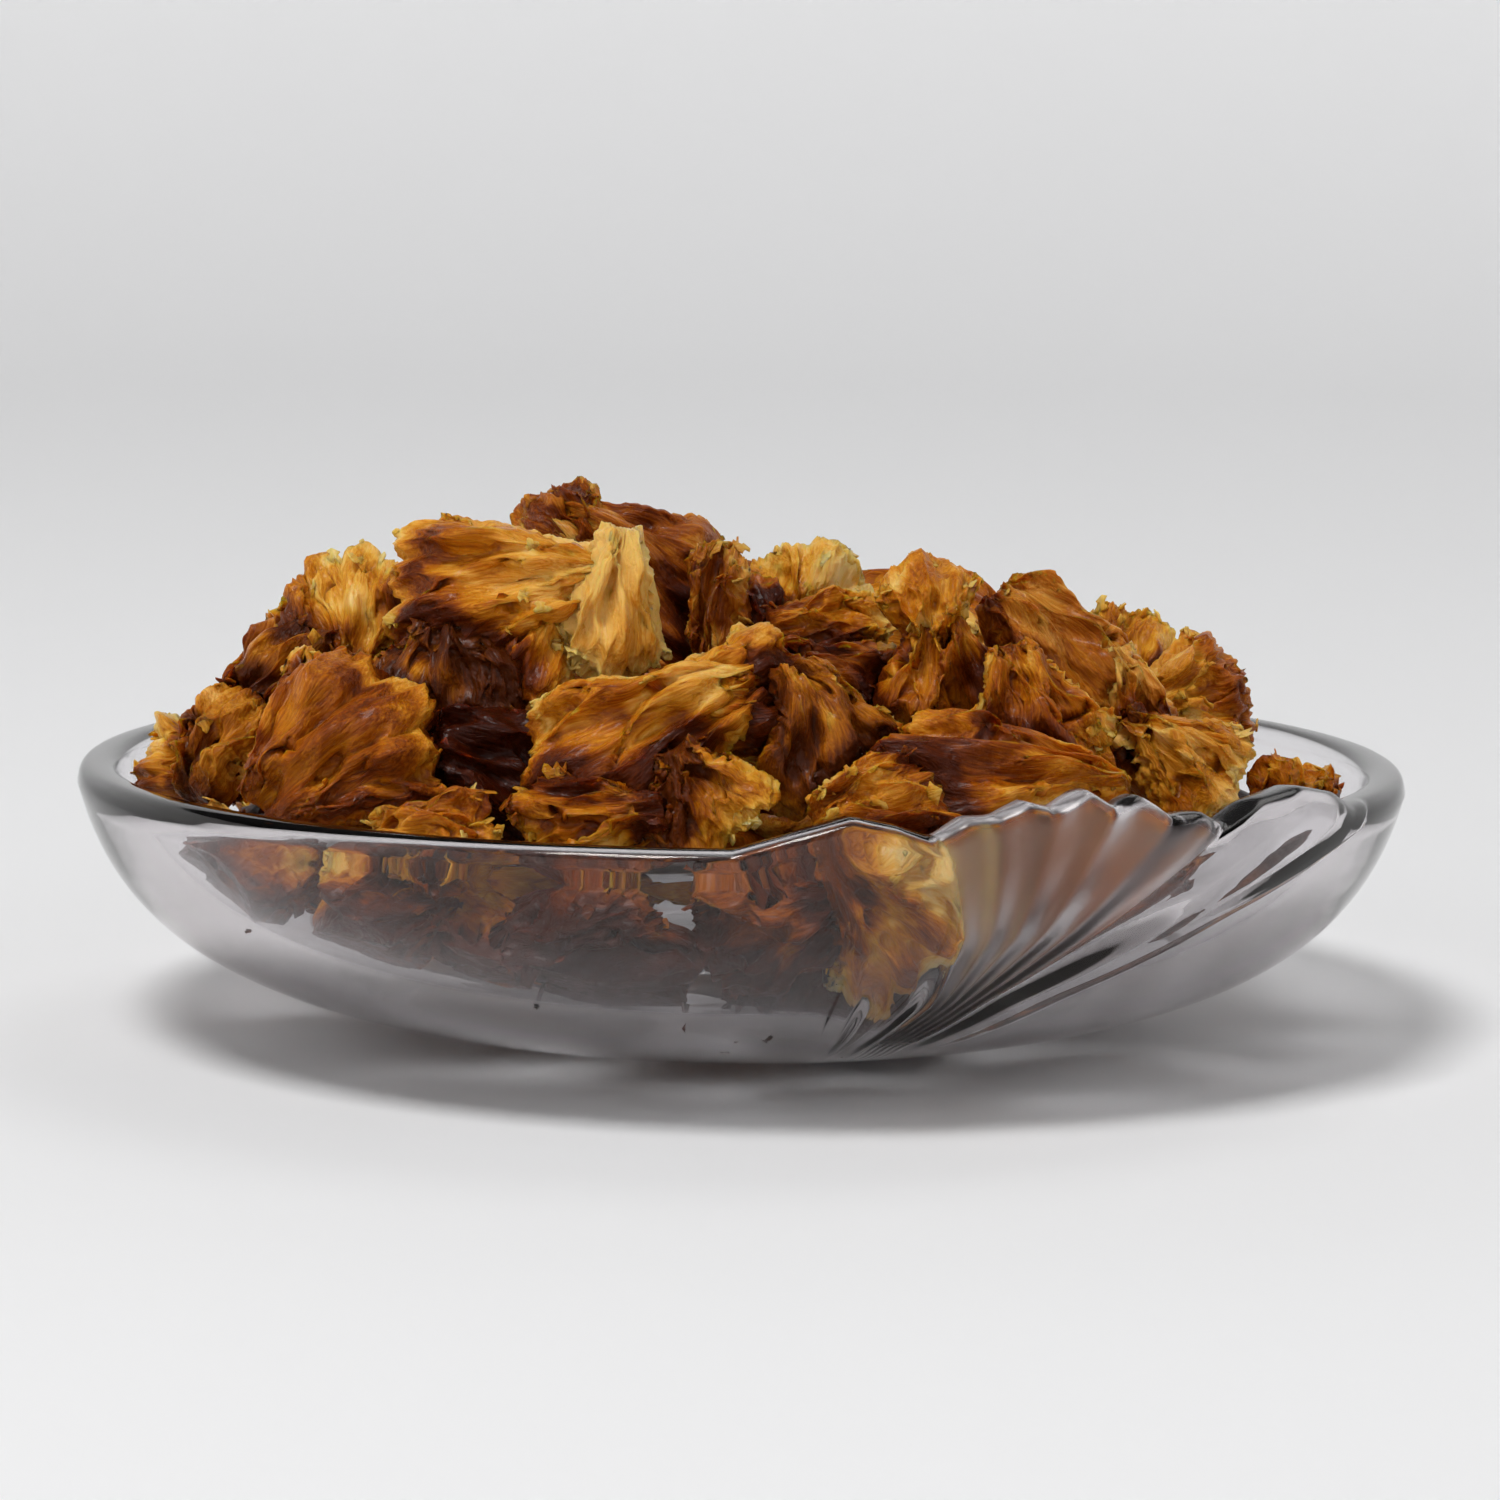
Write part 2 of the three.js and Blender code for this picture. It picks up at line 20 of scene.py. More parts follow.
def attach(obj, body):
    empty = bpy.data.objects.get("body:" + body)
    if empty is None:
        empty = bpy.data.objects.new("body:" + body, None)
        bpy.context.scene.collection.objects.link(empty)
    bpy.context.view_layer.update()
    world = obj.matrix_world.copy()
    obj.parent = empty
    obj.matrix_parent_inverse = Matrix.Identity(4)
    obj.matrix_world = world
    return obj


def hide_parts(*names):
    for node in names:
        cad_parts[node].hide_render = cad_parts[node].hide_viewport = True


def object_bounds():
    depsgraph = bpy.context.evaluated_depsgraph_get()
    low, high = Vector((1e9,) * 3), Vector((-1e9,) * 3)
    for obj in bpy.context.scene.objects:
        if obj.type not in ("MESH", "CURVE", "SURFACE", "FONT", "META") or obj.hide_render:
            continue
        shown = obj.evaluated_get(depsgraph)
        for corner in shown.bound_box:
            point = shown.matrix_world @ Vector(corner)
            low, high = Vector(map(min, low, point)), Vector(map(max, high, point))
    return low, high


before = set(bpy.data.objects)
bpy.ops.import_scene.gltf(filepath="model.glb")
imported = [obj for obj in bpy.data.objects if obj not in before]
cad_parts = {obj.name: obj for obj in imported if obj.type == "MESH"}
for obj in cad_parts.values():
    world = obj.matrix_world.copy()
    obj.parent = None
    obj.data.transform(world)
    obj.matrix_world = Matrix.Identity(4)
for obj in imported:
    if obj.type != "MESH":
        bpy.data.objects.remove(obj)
CAD_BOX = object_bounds()

log = logging.getLogger("pineapple_bowl")

MM = 0.001
BODY = "root"

# The dish, in millimetres, as in the solid model.
RIM_RADIUS = 90.0
FOOT_RADIUS = 26.0
WIDEST_HEIGHT = 33.9
CREST_HEIGHT = 36.6
CREST_RADIUS = 87.5
INNER_RIM_RADIUS = 84.2
FLOOR_HEIGHT = 5.5

# How near a fine piece may come to its neighbour's solid, as a share of the gap between the two.
GAP_SHARE = 0.45
STAND_PROUD = 0.9
CLOSEST = 0.02

# Painted shade: flesh deep between the pieces is painted darker, standing in for the shade there: by how
# much, and from how near a neighbour, in millimetres.
PAINTED_GAP_SHADE = 0.75
PAINTED_GAP_SHADE_REACH = 4.5


def smooth(t: np.ndarray) -> np.ndarray:
    """Eases 0 to 1, held at both ends."""
    t = np.clip(t, 0.0, 1.0)
    return t * t * (3.0 - 2.0 * t)


def eased(values: np.ndarray, start: float, end: float) -> np.ndarray:
    """Eases 0 to 1 as values go from start to end."""
    return smooth((values - start) / (end - start))


def draw(key: float) -> float:
    """A repeatable draw between 0 and 1."""
    s = math.sin(key * 12.9898) * 43758.5453
    return s - math.floor(s)


def ripple(seed: float, s: np.ndarray, t: np.ndarray) -> np.ndarray:
    """A slow ripple of two variables between about -1 and 1, different for each seed."""
    phase = [(seed * k * 2.399) % (2.0 * math.pi) for k in (1, 2, 3)]
    return (
        0.5 * np.sin(1.7 * s + 2.3 * t + phase[0])
        + 0.3 * np.sin(3.1 * s - 1.9 * t + phase[1])
        + 0.2 * np.sin(-4.3 * s + 5.1 * t + phase[2])
    )


def lattice(x: np.ndarray, y: np.ndarray, z: np.ndarray) -> np.ndarray:
    """A repeatable scrambled number for each whole-number place."""
    mixed = x * np.uint32(0x1B873593) ^ y * np.uint32(0xCC9E2D51) ^ z * np.uint32(0x9E3779B1)
    mixed = (mixed ^ (mixed >> np.uint32(15))) * np.uint32(0x85EBCA6B)
    mixed = (mixed ^ (mixed >> np.uint32(13))) * np.uint32(0xC2B2AE35)
    return mixed ^ (mixed >> np.uint32(16))


def cloud(x: np.ndarray, y: np.ndarray, z: np.ndarray, octaves: int = 1) -> np.ndarray:
    """Cloudy noise of three variables, whose lumps are about one unit across.

    Args:
        x: First variable.
        y: Second variable.
        z: Third variable.
        octaves: How many layers are added, each twice as fine and half as high as the one before.

    Returns:
        Values between about -1 and 1.
    """
    total = np.zeros(len(x))
    for k in range(octaves):
        place = np.stack((x, y, z)) * 2.0**k + 17.3 * k
        corner = np.floor(place)
        inside = place - corner
        ease = inside**3 * (inside * (inside * 6.0 - 15.0) + 10.0)
        cell = (corner.astype(np.int64) & 0xFFFFFFFF).astype(np.uint32)
        for dx in (0, 1):
            for dy in (0, 1):
                for dz in (0, 1):
                    key = lattice(cell[0] + np.uint32(dx), cell[1] + np.uint32(dy), cell[2] + np.uint32(dz))
                    slope = (
                        ((key & np.uint32(1023)) / 511.5 - 1.0) * (inside[0] - dx)
                        + ((key >> np.uint32(10) & np.uint32(1023)) / 511.5 - 1.0) * (inside[1] - dy)
                        + ((key >> np.uint32(20) & np.uint32(1023)) / 511.5 - 1.0) * (inside[2] - dz)
                    )
                    weight = (
                        (ease[0] if dx else 1.0 - ease[0])
                        * (ease[1] if dy else 1.0 - ease[1])
                        * (ease[2] if dz else 1.0 - ease[2])
                    )
                    total += 0.5**k * slope * weight
    return total


def bend(
    distance: np.ndarray, height: np.ndarray, turn: float, length: float
) -> tuple[np.ndarray, np.ndarray]:
    """Bends a sheet round an axis, upwards at both ends.

    Args:
        distance: Where each point lies along the sheet, from its middle.
        height: How far each point stands off the sheet.
        turn: The whole turn in degrees over the length.
        length: The length that turns.

    Returns:
        The bent distance and height.
    """
    curve = math.radians(turn) / length
    if abs(curve) < 1e-6:
        return distance, height
    angle = curve * distance
    return np.sin(angle) * (1.0 / curve - height), (1.0 - np.cos(angle)) / curve + height * np.cos(angle)


class Slot(Enum):
    """The record's material slots."""

    GLASS = "clear_glass"
    AMBER = "amber_fruit"
    GOLDEN = "golden_fruit"
    BROWN = "brown_fruit"
    OLIVE = "olive_fruit"


class Nodes:
    """Short calls for the shader nodes that the finishes and the studio share."""

    def __init__(self, owner: bpy.types.Material | bpy.types.World) -> None:
        """Opens the owner's node tree."""
        owner.use_nodes = True
        self.tree = owner.node_tree

    def feed(self, value: bpy.types.NodeSocket, socket: bpy.types.NodeSocket) -> None:
        """Links a value to an input."""
        self.tree.links.new(value, socket)

    def place(self, output: str = "Object") -> bpy.types.NodeSocket:
        """The place of each point, on the object or of the sky."""
        return self.tree.nodes.new("ShaderNodeTexCoord").outputs[output]

    def carried(self, name: str, output: str = "Fac") -> bpy.types.NodeSocket:
        """What the mesh carries under this name."""
        node = self.tree.nodes.new("ShaderNodeAttribute")
        node.attribute_type = "GEOMETRY"
        node.attribute_name = name
        return node.outputs[output]

    def height(self, place: bpy.types.NodeSocket) -> bpy.types.NodeSocket:
        """How high a place is."""
        split = self.tree.nodes.new("ShaderNodeSeparateXYZ")
        self.feed(place, split.inputs["Vector"])
        return split.outputs["Z"]

    def noise(
        self, place: bpy.types.NodeSocket, scale: float, detail: float, roughness: float = 0.5
    ) -> bpy.types.NodeSocket:
        """Cloudy noise from 0 to 1."""
        node = self.tree.nodes.new("ShaderNodeTexNoise")
        node.inputs["Scale"].default_value = scale
        node.inputs["Detail"].default_value = detail
        node.inputs["Roughness"].default_value = roughness
        self.feed(place, node.inputs["Vector"])
        return node.outputs["Fac"]

    def fibres(self, along: float, across: float, detail: float) -> bpy.types.NodeSocket:
        """Noise drawn out along the fibres: "lay" holds centimetres along, across and through them."""
        stretch = self.tree.nodes.new("ShaderNodeMapping")
        stretch.inputs["Scale"].default_value = (along, across, across)
        self.feed(self.carried("lay", "Vector"), stretch.inputs["Vector"])
        return self.noise(stretch.outputs["Vector"], 1.0, detail, 0.6)

    def ranged(
        self,
        value: bpy.types.NodeSocket,
        source: tuple[float, float],
        target: tuple[float, float],
        easing: str = "LINEAR",
    ) -> bpy.types.NodeSocket:
        """Carries one range of values over to another.

        Args:
            value: The value.
            source: The range that it comes in.
            target: The range that it goes out in.
            easing: The node's name for the way between the two.

        Returns:
            The carried value.
        """
        node = self.tree.nodes.new("ShaderNodeMapRange")
        node.interpolation_type = easing
        for name, bound in zip(("From Min", "From Max", "To Min", "To Max"), (*source, *target)):
            node.inputs[name].default_value = bound
        self.feed(value, node.inputs["Value"])
        return node.outputs["Result"]

    def total(
        self, terms: Sequence[tuple[bpy.types.NodeSocket, float]], start: float
    ) -> bpy.types.NodeSocket:
        """Adds weighted values to a starting value."""
        result = None
        for socket, weight in terms:
            step = self.tree.nodes.new("ShaderNodeMath")
            step.operation = "MULTIPLY_ADD"
            step.inputs[1].default_value = weight
            step.inputs[2].default_value = start
            self.feed(socket, step.inputs[0])
            if result is not None:
                self.feed(result, step.inputs[2])
            result = step.outputs["Value"]
        return result


@dataclass(frozen=True)
class FruitFinish:
    """The finish of dried pineapple flesh: sticky, fibrous and a little see-through.

    Colours run from painted shade in the deepest folds and between pieces to the thinnest dry edges. Noise
    scales are in lumps a metre, and those of the fibres in lumps a centimetre, along and across them.
    """

    slot: Slot
    colours: tuple[tuple[float, float, float], ...]
    stops: tuple[float, ...] = (0.0, 0.24, 0.46, 0.68, 0.9)
    fibres: tuple[float, float] = (1.3, 30.0)
    bundles: tuple[float, float] = (0.8, 10.0)
    threads: tuple[float, float] = (1.5, 24.0)
    blotches: float = 130.0
    sticky_patches: float = 420.0
    grains: float = 900.0
    roughness: tuple[float, float] = (0.24, 0.46)
    skin_strength: float = 0.85
    skin_depth: float = 0.48 * MM
    glow: float = 0.5
    glow_radius: tuple[float, float, float] = (1.0, 0.5, 0.18)
    glow_scale: float = 1.8 * MM
    refraction: float = 1.46
    shine: float = 0.14
    coat: float = 0.08
    coat_roughness: float = 0.14

    def material(self) -> bpy.types.Material:
        """Builds the finish as a material that follows the fibres by what the mesh carries."""
        made = bpy.data.materials.new(self.slot.value)
        nodes = Nodes(made)
        shader = nodes.tree.nodes["Principled BSDF"]
        nodes.feed(self._colour(nodes), shader.inputs["Base Color"])
        sticky = nodes.noise(nodes.place(), self.sticky_patches, 3.0)
        nodes.feed(nodes.ranged(sticky, (0.35, 0.65), self.roughness), shader.inputs["Roughness"])
        nodes.feed(self._skin(nodes), shader.inputs["Normal"])
        shader.inputs["Subsurface Weight"].default_value = self.glow
        shader.inputs["Subsurface Radius"].default_value = self.glow_radius
        shader.inputs["Subsurface Scale"].default_value = self.glow_scale
        shader.inputs["IOR"].default_value = self.refraction
        shader.inputs["Specular IOR Level"].default_value = self.shine
        shader.inputs["Coat Weight"].default_value = self.coat
        shader.inputs["Coat Roughness"].default_value = self.coat_roughness
        return made

    def _colour(self, nodes: Nodes) -> bpy.types.NodeSocket:
        """The flesh's colour: the mesh's own tone with its painted shade, with fibres, bundles of them and
        cloudy blotches.
        """
        fibres = nodes.fibres(*self.fibres, detail=3.0)
        bundles = nodes.fibres(*self.bundles, detail=2.0)
        blotches = nodes.noise(nodes.place(), self.blotches, 5.0, 0.72)
        terms = [(nodes.carried("tone"), 1.0), (fibres, 0.62), (bundles, 0.25), (blotches, 0.36)]
        ramp = nodes.tree.nodes.new("ShaderNodeValToRGB")
        ramp.color_ramp.interpolation = "B_SPLINE"
        while len(ramp.color_ramp.elements) < len(self.colours):
            ramp.color_ramp.elements.new(0.5)
        for element, stop, colour in zip(ramp.color_ramp.elements, self.stops, self.colours):
            element.position = stop
            element.color = (*colour, 1.0)
        nodes.feed(nodes.total(terms, -0.615), ramp.inputs["Fac"])
        return ramp.outputs["Color"]

    def _skin(self, nodes: Nodes) -> bpy.types.NodeSocket:
        """Fine fibres and a wrinkled, grainy skin."""
        threads = nodes.fibres(*self.threads, detail=3.0)
        grains = nodes.noise(nodes.place(), self.grains, 3.0)
        bump = nodes.tree.nodes.new("ShaderNodeBump")
        bump.inputs["Strength"].default_value = self.skin_strength
        bump.inputs["Distance"].default_value = self.skin_depth
        nodes.feed(nodes.total([(threads, 1.0), (grains, 0.8)], 0.0), bump.inputs["Height"])
        return bump.outputs["Normal"]


AMBER = FruitFinish(
    Slot.AMBER,
    (
        (0.045, 0.005, 0.0002), (0.19, 0.031, 0.0007), (0.45, 0.122, 0.002),
        (0.71, 0.295, 0.014), (0.84, 0.51, 0.13),
    ),
)
GOLDEN = FruitFinish(
    Slot.GOLDEN,
    (
        (0.07, 0.010, 0.0004), (0.28, 0.060, 0.0013), (0.56, 0.195, 0.006),
        (0.78, 0.395, 0.034), (0.87, 0.60, 0.22),
    ),
)
BROWN = FruitFinish(
    Slot.BROWN,
    (
        (0.028, 0.003, 0.0002), (0.11, 0.015, 0.0005), (0.27, 0.058, 0.0015),
        (0.51, 0.166, 0.008), (0.71, 0.37, 0.075),
    ),
)
OLIVE = FruitFinish(
    Slot.OLIVE,
    (
        (0.042, 0.006, 0.0003), (0.17, 0.034, 0.0009), (0.40, 0.118, 0.0022),
        (0.66, 0.268, 0.015), (0.83, 0.47, 0.12),
    ),
)
FINISHES = {finish.slot: finish for finish in (AMBER, GOLDEN, BROWN, OLIVE)}


@dataclass(frozen=True)
class GlassFinish:
    """Clear pressed glass with a faint lavender body, etched where the mesh says so."""

    colour: tuple[float, float, float] = (0.96, 0.965, 0.98)
    reflection: tuple[float, float, float] = (0.62, 0.57, 0.54)
    refraction: float = 1.5
    tint: tuple[float, float, float] = (0.55, 0.47, 0.48)
    density: float = 38.0
    roughness: tuple[float, float] = (0.015, 0.62)

    def material(self) -> bpy.types.Material:
        """Builds the glass; the mesh's "etched" value runs from clear at 0 to frosted at 1."""
        made = bpy.data.materials.new(Slot.GLASS.value)
        nodes = Nodes(made)
        shader = nodes.tree.nodes["Principled BSDF"]
        shader.inputs["Base Color"].default_value = (*self.colour, 1.0)
        shader.inputs["Transmission Weight"].default_value = 1.0
        shader.inputs["Specular Tint"].default_value = (*self.reflection, 1.0)
        shader.inputs["IOR"].default_value = self.refraction
        rough = nodes.ranged(nodes.carried("etched"), (0.0, 1.0), self.roughness)
        nodes.feed(rough, shader.inputs["Roughness"])
        body = nodes.tree.nodes.new("ShaderNodeVolumeAbsorption")
        body.inputs["Color"].default_value = (*self.tint, 1.0)
        body.inputs["Density"].default_value = self.density
        nodes.feed(body.outputs["Volume"], nodes.tree.nodes["Material Output"].inputs["Volume"])
        return made


def place_in_scene(made: bmesh.types.BMesh, name: str, material: bpy.types.Material) -> bpy.types.Object:
    """Turns a finished mesh into an object in the scene.

    Args:
        made: The mesh, which is freed.
        name: The object's name.
        material: Its one material.

    Returns:
        The object, at the origin.
    """
    data = bpy.data.meshes.new(name)
    made.to_mesh(data)
    made.free()
    data.materials.append(material)
    data.shade_smooth()
    placed = bpy.data.objects.new(name, data)
    bpy.context.scene.collection.objects.link(placed)
    return placed


def spin_round(made: bmesh.types.BMesh, row: list[bmesh.types.BMVert], steps: int) -> None:
    """Turns an outline of vertices all the way round the upright axis.

    Args:
        made: The mesh that holds the vertices.
        row: The outline's vertices in order.
        steps: How many columns the full turn has.
    """
    edges = [made.edges.new(pair) for pair in zip(row, row[1:])]
    bmesh.ops.spin(
        made, geom=[*row, *edges], axis=(0, 0, 1), cent=(0, 0, 0), dvec=(0, 0, 0), angle=2.0 * math.pi,
        steps=steps, use_merge=True, use_duplicate=False,
    )
    bmesh.ops.remove_doubles(made, verts=made.verts, dist=1e-4)
    bmesh.ops.recalc_face_normals(made, faces=made.faces[:])


def stand_for(piece: bpy.types.Object, node: str) -> None:
    """Lets a piece ride on the body, in the place of its CAD node."""
    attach(piece, BODY)
    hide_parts(node)


@dataclass(frozen=True)
class Wedge:
    """One wedge of dried pineapple, as it lies in the heap."""

    at: tuple[float, float, float]
    face: tuple[float, float]
    fan: float
    core: float
    reach: float
    spread: float
    thick: float
    seed: float
    curl: tuple[float, float] = (0.0, 0.0)
    twist: float = 0.0
    pleat: float = 2.0
    folds: int = 4
    tone: float = 0.0
    to_rind: float = 0.0
    fray: float = 1.4
    fibre: float = 1.0
    rough: float = 1.0

    @property
    def half(self) -> float:
        """Half the wedge's angle, in radians."""
        return math.radians(self.spread) / 2.0

    @property
    def width(self) -> float:
        """The width across the rind side."""
        return 2.0 * (self.core + self.reach) * math.sin(self.half)

    def placing(self) -> Matrix:
        """The wedge's turn and place in the heap: X runs from core to rind, and Z out of its face."""
        azimuth, elevation = (math.radians(angle) for angle in self.face)
        fan = math.radians(self.fan)
        normal = Vector(
            (
                math.sin(azimuth) * math.cos(elevation),
                -math.cos(azimuth) * math.cos(elevation),
                math.sin(elevation),
            )
        )
        right = Vector((math.cos(azimuth), math.sin(azimuth), 0.0))
        up = normal.cross(right)
        outward = right * math.cos(fan) + up * math.sin(fan)
        across = normal.cross(outward)
        turn = Matrix((outward, across, normal)).transposed().to_4x4()
        return Matrix.Translation(self.at) @ turn


@dataclass(frozen=True)
class Sheet:
    """A wedge's mesh grid: its cells from core to rind, from side to side, and down its cut edge."""

    along: int
    across: int
    edge: int = 8

    def slab(self) -> bmesh.types.BMesh:
        """A closed slab from -1 to 1 each way, gridded on both faces and round its edge."""
        made = bmesh.new()
        bmesh.ops.create_grid(made, x_segments=self.along, y_segments=self.across, size=1.0)
        bmesh.ops.solidify(made, geom=made.faces[:], thickness=2.0)
        middle = sum(vertex.co.z for vertex in made.verts) / len(made.verts)
        bmesh.ops.translate(made, vec=(0.0, 0.0, -middle), verts=made.verts)
        upright = [edge for edge in made.edges if abs(edge.verts[0].co.z - edge.verts[1].co.z) > 1.0]
        if self.edge:
            bmesh.ops.subdivide_edges(made, edges=upright, cuts=self.edge, use_grid_fill=True)
        bmesh.ops.recalc_face_normals(made, faces=made.faces[:])
        return made


@dataclass(frozen=True)
class Grain:
    """One kind of unevenness in the flesh, in millimetres.

    Its lumps have a length along and across the fibres. The key keeps one kind from lying over another, and
    the height is how strongly it counts.
    """

    along: float
    across: float
    key: float
    height: float = 1.0
    octaves: int = 1


# The relief of the skin.
STRANDS = Grain(14.0, 2.5, 1.0, 0.35)
THREADS = Grain(7.0, 1.0, 2.0, 0.6)
LUMPS = Grain(6.5, 5.5, 3.0, 1.2)
CREASES = Grain(4.4, 3.4, 4.0, 0.25)
PITS = Grain(6.0, 4.0, 5.0, 2.2)
SPLITS = Grain(16.0, 3.6, 6.0, 1.2)
SPLIT_PARTS = Grain(9.0, 9.0, 7.0)
SKIN_LEVEL = 0.4
# The pushes that crumple the whole piece, one key further for each direction.
PUSHES = Grain(8.5, 7.0, 11.0, 1.3)
SMALL_PUSHES = Grain(2.9, 2.4, 15.0, 0.25)
# The colour.
PATCHES = Grain(15.0, 11.0, 21.0, 0.45, 2)
DRY_PATCHES = Grain(7.0, 4.0, 22.0, 0.26, 2)


class WedgeForm:
    """The form of one wedge: where each point of its slab comes to lie, and how light its flesh is painted
    there, painted shade included.
    """

    def __init__(self, wedge: Wedge, slab: np.ndarray) -> None:
        """Keeps the slab's points as u from core to rind, v from side to side, and side from back to front.

        Args:
            wedge: The wedge's sizes.
            slab: The slab's points, from -1 to 1 each way.
        """
        self.wedge = wedge
        self.u = (slab[:, 0] + 1.0) / 2.0
        self.v = slab[:, 1]
        self.side = slab[:, 2]
        self.arc = self.v * wedge.half * (wedge.core + 0.75 * wedge.reach)
        self.run = self.u * wedge.reach
        self.depth = np.zeros(len(self.u))
        self.lobes()

    def lobes(self) -> None:
        """Finds each point's lobe: how full it is there, and the lobe's own lift and reach."""
        w = self.wedge
        place = ((self.v + 1.0) / 2.0 + 0.05 * np.sin(3.3 * self.v + w.seed)) * w.folds
        number = np.clip(np.floor(place), 0, w.folds - 1).astype(int)
        lifts = np.array([2.0 * draw(w.seed + 7.0 * k) - 1.0 for k in range(w.folds)])
        reaches = np.array([2.0 * draw(w.seed + 3.7 * k + 0.5) - 1.0 for k in range(w.folds)])
        self.full = np.sin(math.pi * np.clip(place - number, 0.0, 1.0)).clip(0.0, 1.0) ** 0.5
        self.lift = lifts[number]
        self.lobe_reach = reaches[number]

    def noise(self, grain: Grain, shift: int = 0) -> np.ndarray:
        """One kind of unevenness at each point, from about -1 to 1, with its key shifted if need be."""
        seed = 1.37 * self.wedge.seed + grain.key + shift
        along, across = self.run / grain.along, self.strand / grain.across
        return cloud(along, across + seed, self.high / grain.across - 3.1 * seed, grain.octaves)

    def fringe(self) -> np.ndarray:
        """How far the torn rind side is eaten back, in millimetres."""
        seed = self.wedge.seed
        teeth = np.abs(cloud(self.arc / 1.3, self.side * 1.5, seed * 1.9 + np.zeros(len(self.u))))
        bites = np.abs(cloud(self.arc / 4.2, self.side * 0.8, seed * 2.3 + np.zeros(len(self.u))))
        return self.wedge.fray * (2.2 * teeth + 3.0 * bites)

    def ragged_sides(self) -> np.ndarray:
        """How far the two cut sides are eaten back, in millimetres."""
        seed = self.wedge.seed + 5.0 * np.sign(self.v)
        bites = np.abs(cloud(self.run / 2.0, self.side * 1.2, seed * 2.9, 2))
        return self.wedge.fray * 1.8 * bites * np.abs(self.v) ** 8

    def base(self) -> np.ndarray:
        """Where the slab's points come to lie in the wedge's own frame before its relief, in millimetres."""
        w = self.wedge
        u, v, side = self.u, self.v, self.side
        cleft = 1.0 - self.full
        outline = 0.12 * v * v + 0.08 * cleft - 0.1 * self.lobe_reach * self.full
        round_edge = 0.8 * (1.0 - side * side)
        rind = w.core + w.reach * (1.0 - outline) - self.fringe() + round_edge
        radius = w.core + (rind - w.core) * u
        radius += np.where(u < 0.02, -round_edge, 0.0)
        inset = self.ragged_sides() - round_edge * (np.abs(v) > 0.98)
        angle = v * w.half * (1.0 + 0.1 * ripple(w.seed + 1, 3.0 * u, np.ones(len(u))))
        angle -= np.sign(v) * inset / np.maximum(radius, 2.0)
        rind_end = 1.0 - 0.4 * u**5
        core_end = 1.0 - 0.4 * (1.0 - smooth(4.0 * u))
        sides = 1.0 - 0.35 * v**6
        clefts = 1.0 - 0.22 * cleft * smooth(1.8 * u)
        swell = 1.0 + 0.25 * ripple(w.seed + 2, 4.0 * v, 4.0 * u)
        torn_thin = 1.0 - 0.35 * smooth((u - 0.8) / 0.2) - 0.2 * smooth((np.abs(v) - 0.8) / 0.2)
        self.depth = (w.thick / 2.0) * rind_end * core_end * sides * clefts * swell * torn_thin
        self.high = side * self.depth
        self.strand = self.arc + 0.9 * cloud(self.run / 11.0, self.arc / 9.0, self.high / 9.0 + w.seed)
        fold = w.pleat * self.lift * self.full * u**1.5 * (1.0 - 0.6 * v**4)
        height = fold + 1.3 * ripple(w.seed + 3, 2.4 * u, 2.2 * v) + self.high
        x = radius * np.cos(angle) - w.core - w.reach / 2.0
        y = radius * np.sin(angle)
        bent_x, lifted = bend(x, height, w.curl[0], w.reach)
        bent_y, z = bend(y, lifted, w.curl[1], w.width)
        roll = math.radians(w.twist) * (bent_x / w.reach)
        rolled_y = bent_y * np.cos(roll) - z * np.sin(roll)
        rolled_z = bent_y * np.sin(roll) + z * np.cos(roll)
        return np.stack((bent_x, rolled_y, rolled_z), axis=1)

    def relief(self) -> np.ndarray:
        """How far the skin stands out at each point: bundled fibres, lumps, creases, pits and splits."""
        fibres = sum(grain.height * np.abs(self.noise(grain)) for grain in (STRANDS, THREADS))
        creases = CREASES.height * np.abs(self.noise(CREASES))
        pits = PITS.height * smooth((self.noise(PITS) - 0.3) / 0.12)
        narrow = np.exp(-((self.noise(SPLITS) / 0.05) ** 2))
        splits = SPLITS.height * narrow * smooth((self.noise(SPLIT_PARTS) - 0.02) / 0.1)
        grown = self.wedge.fibre * fibres + LUMPS.height * self.noise(LUMPS) + creases
        room = np.minimum(1.0, self.depth / 2.2)
        return self.wedge.rough * (grown - SKIN_LEVEL - pits - splits) * room

    def crumple(self) -> np.ndarray:
        """How far the shrunken flesh is pushed about at each point."""
        pushes = [sum(g.height * self.noise(g, k) for g in (PUSHES, SMALL_PUSHES)) for k in range(3)]
        return self.wedge.rough * np.stack(pushes, axis=1)

    def tone(self, relief: np.ndarray) -> np.ndarray:
        """How light the flesh is painted at each point: painted shade in the hollows of its relief and
        lighter on its ridges, pale at thin edges and in dry patches.

        Args:
            relief: How far the skin stands out there.

        Returns:
            Values around 0.4, dark below it and pale above it.
        """
        w = self.wedge
        dry = smooth((self.noise(DRY_PATCHES) - 0.16) / 0.25)
        edge = smooth((self.u - 0.9) / 0.1) + smooth((np.abs(self.v) - 0.93) / 0.07)
        # Painted shade: the relief's hollows are painted darker and its ridges lighter.
        value = 0.42 + w.tone + w.to_rind * (self.u - 0.5) + 0.14 * relief
        return value + PATCHES.height * self.noise(PATCHES) + DRY_PATCHES.height * dry + 0.18 * edge

    def lay(self) -> np.ndarray:
        """Each point's place in the flat flesh in centimetres: along, across and through the fibres."""
        shift = 7.0 * draw(self.wedge.seed)
        return np.stack((self.run / 10.0, self.strand / 10.0 + shift, self.high / 10.0), axis=1)


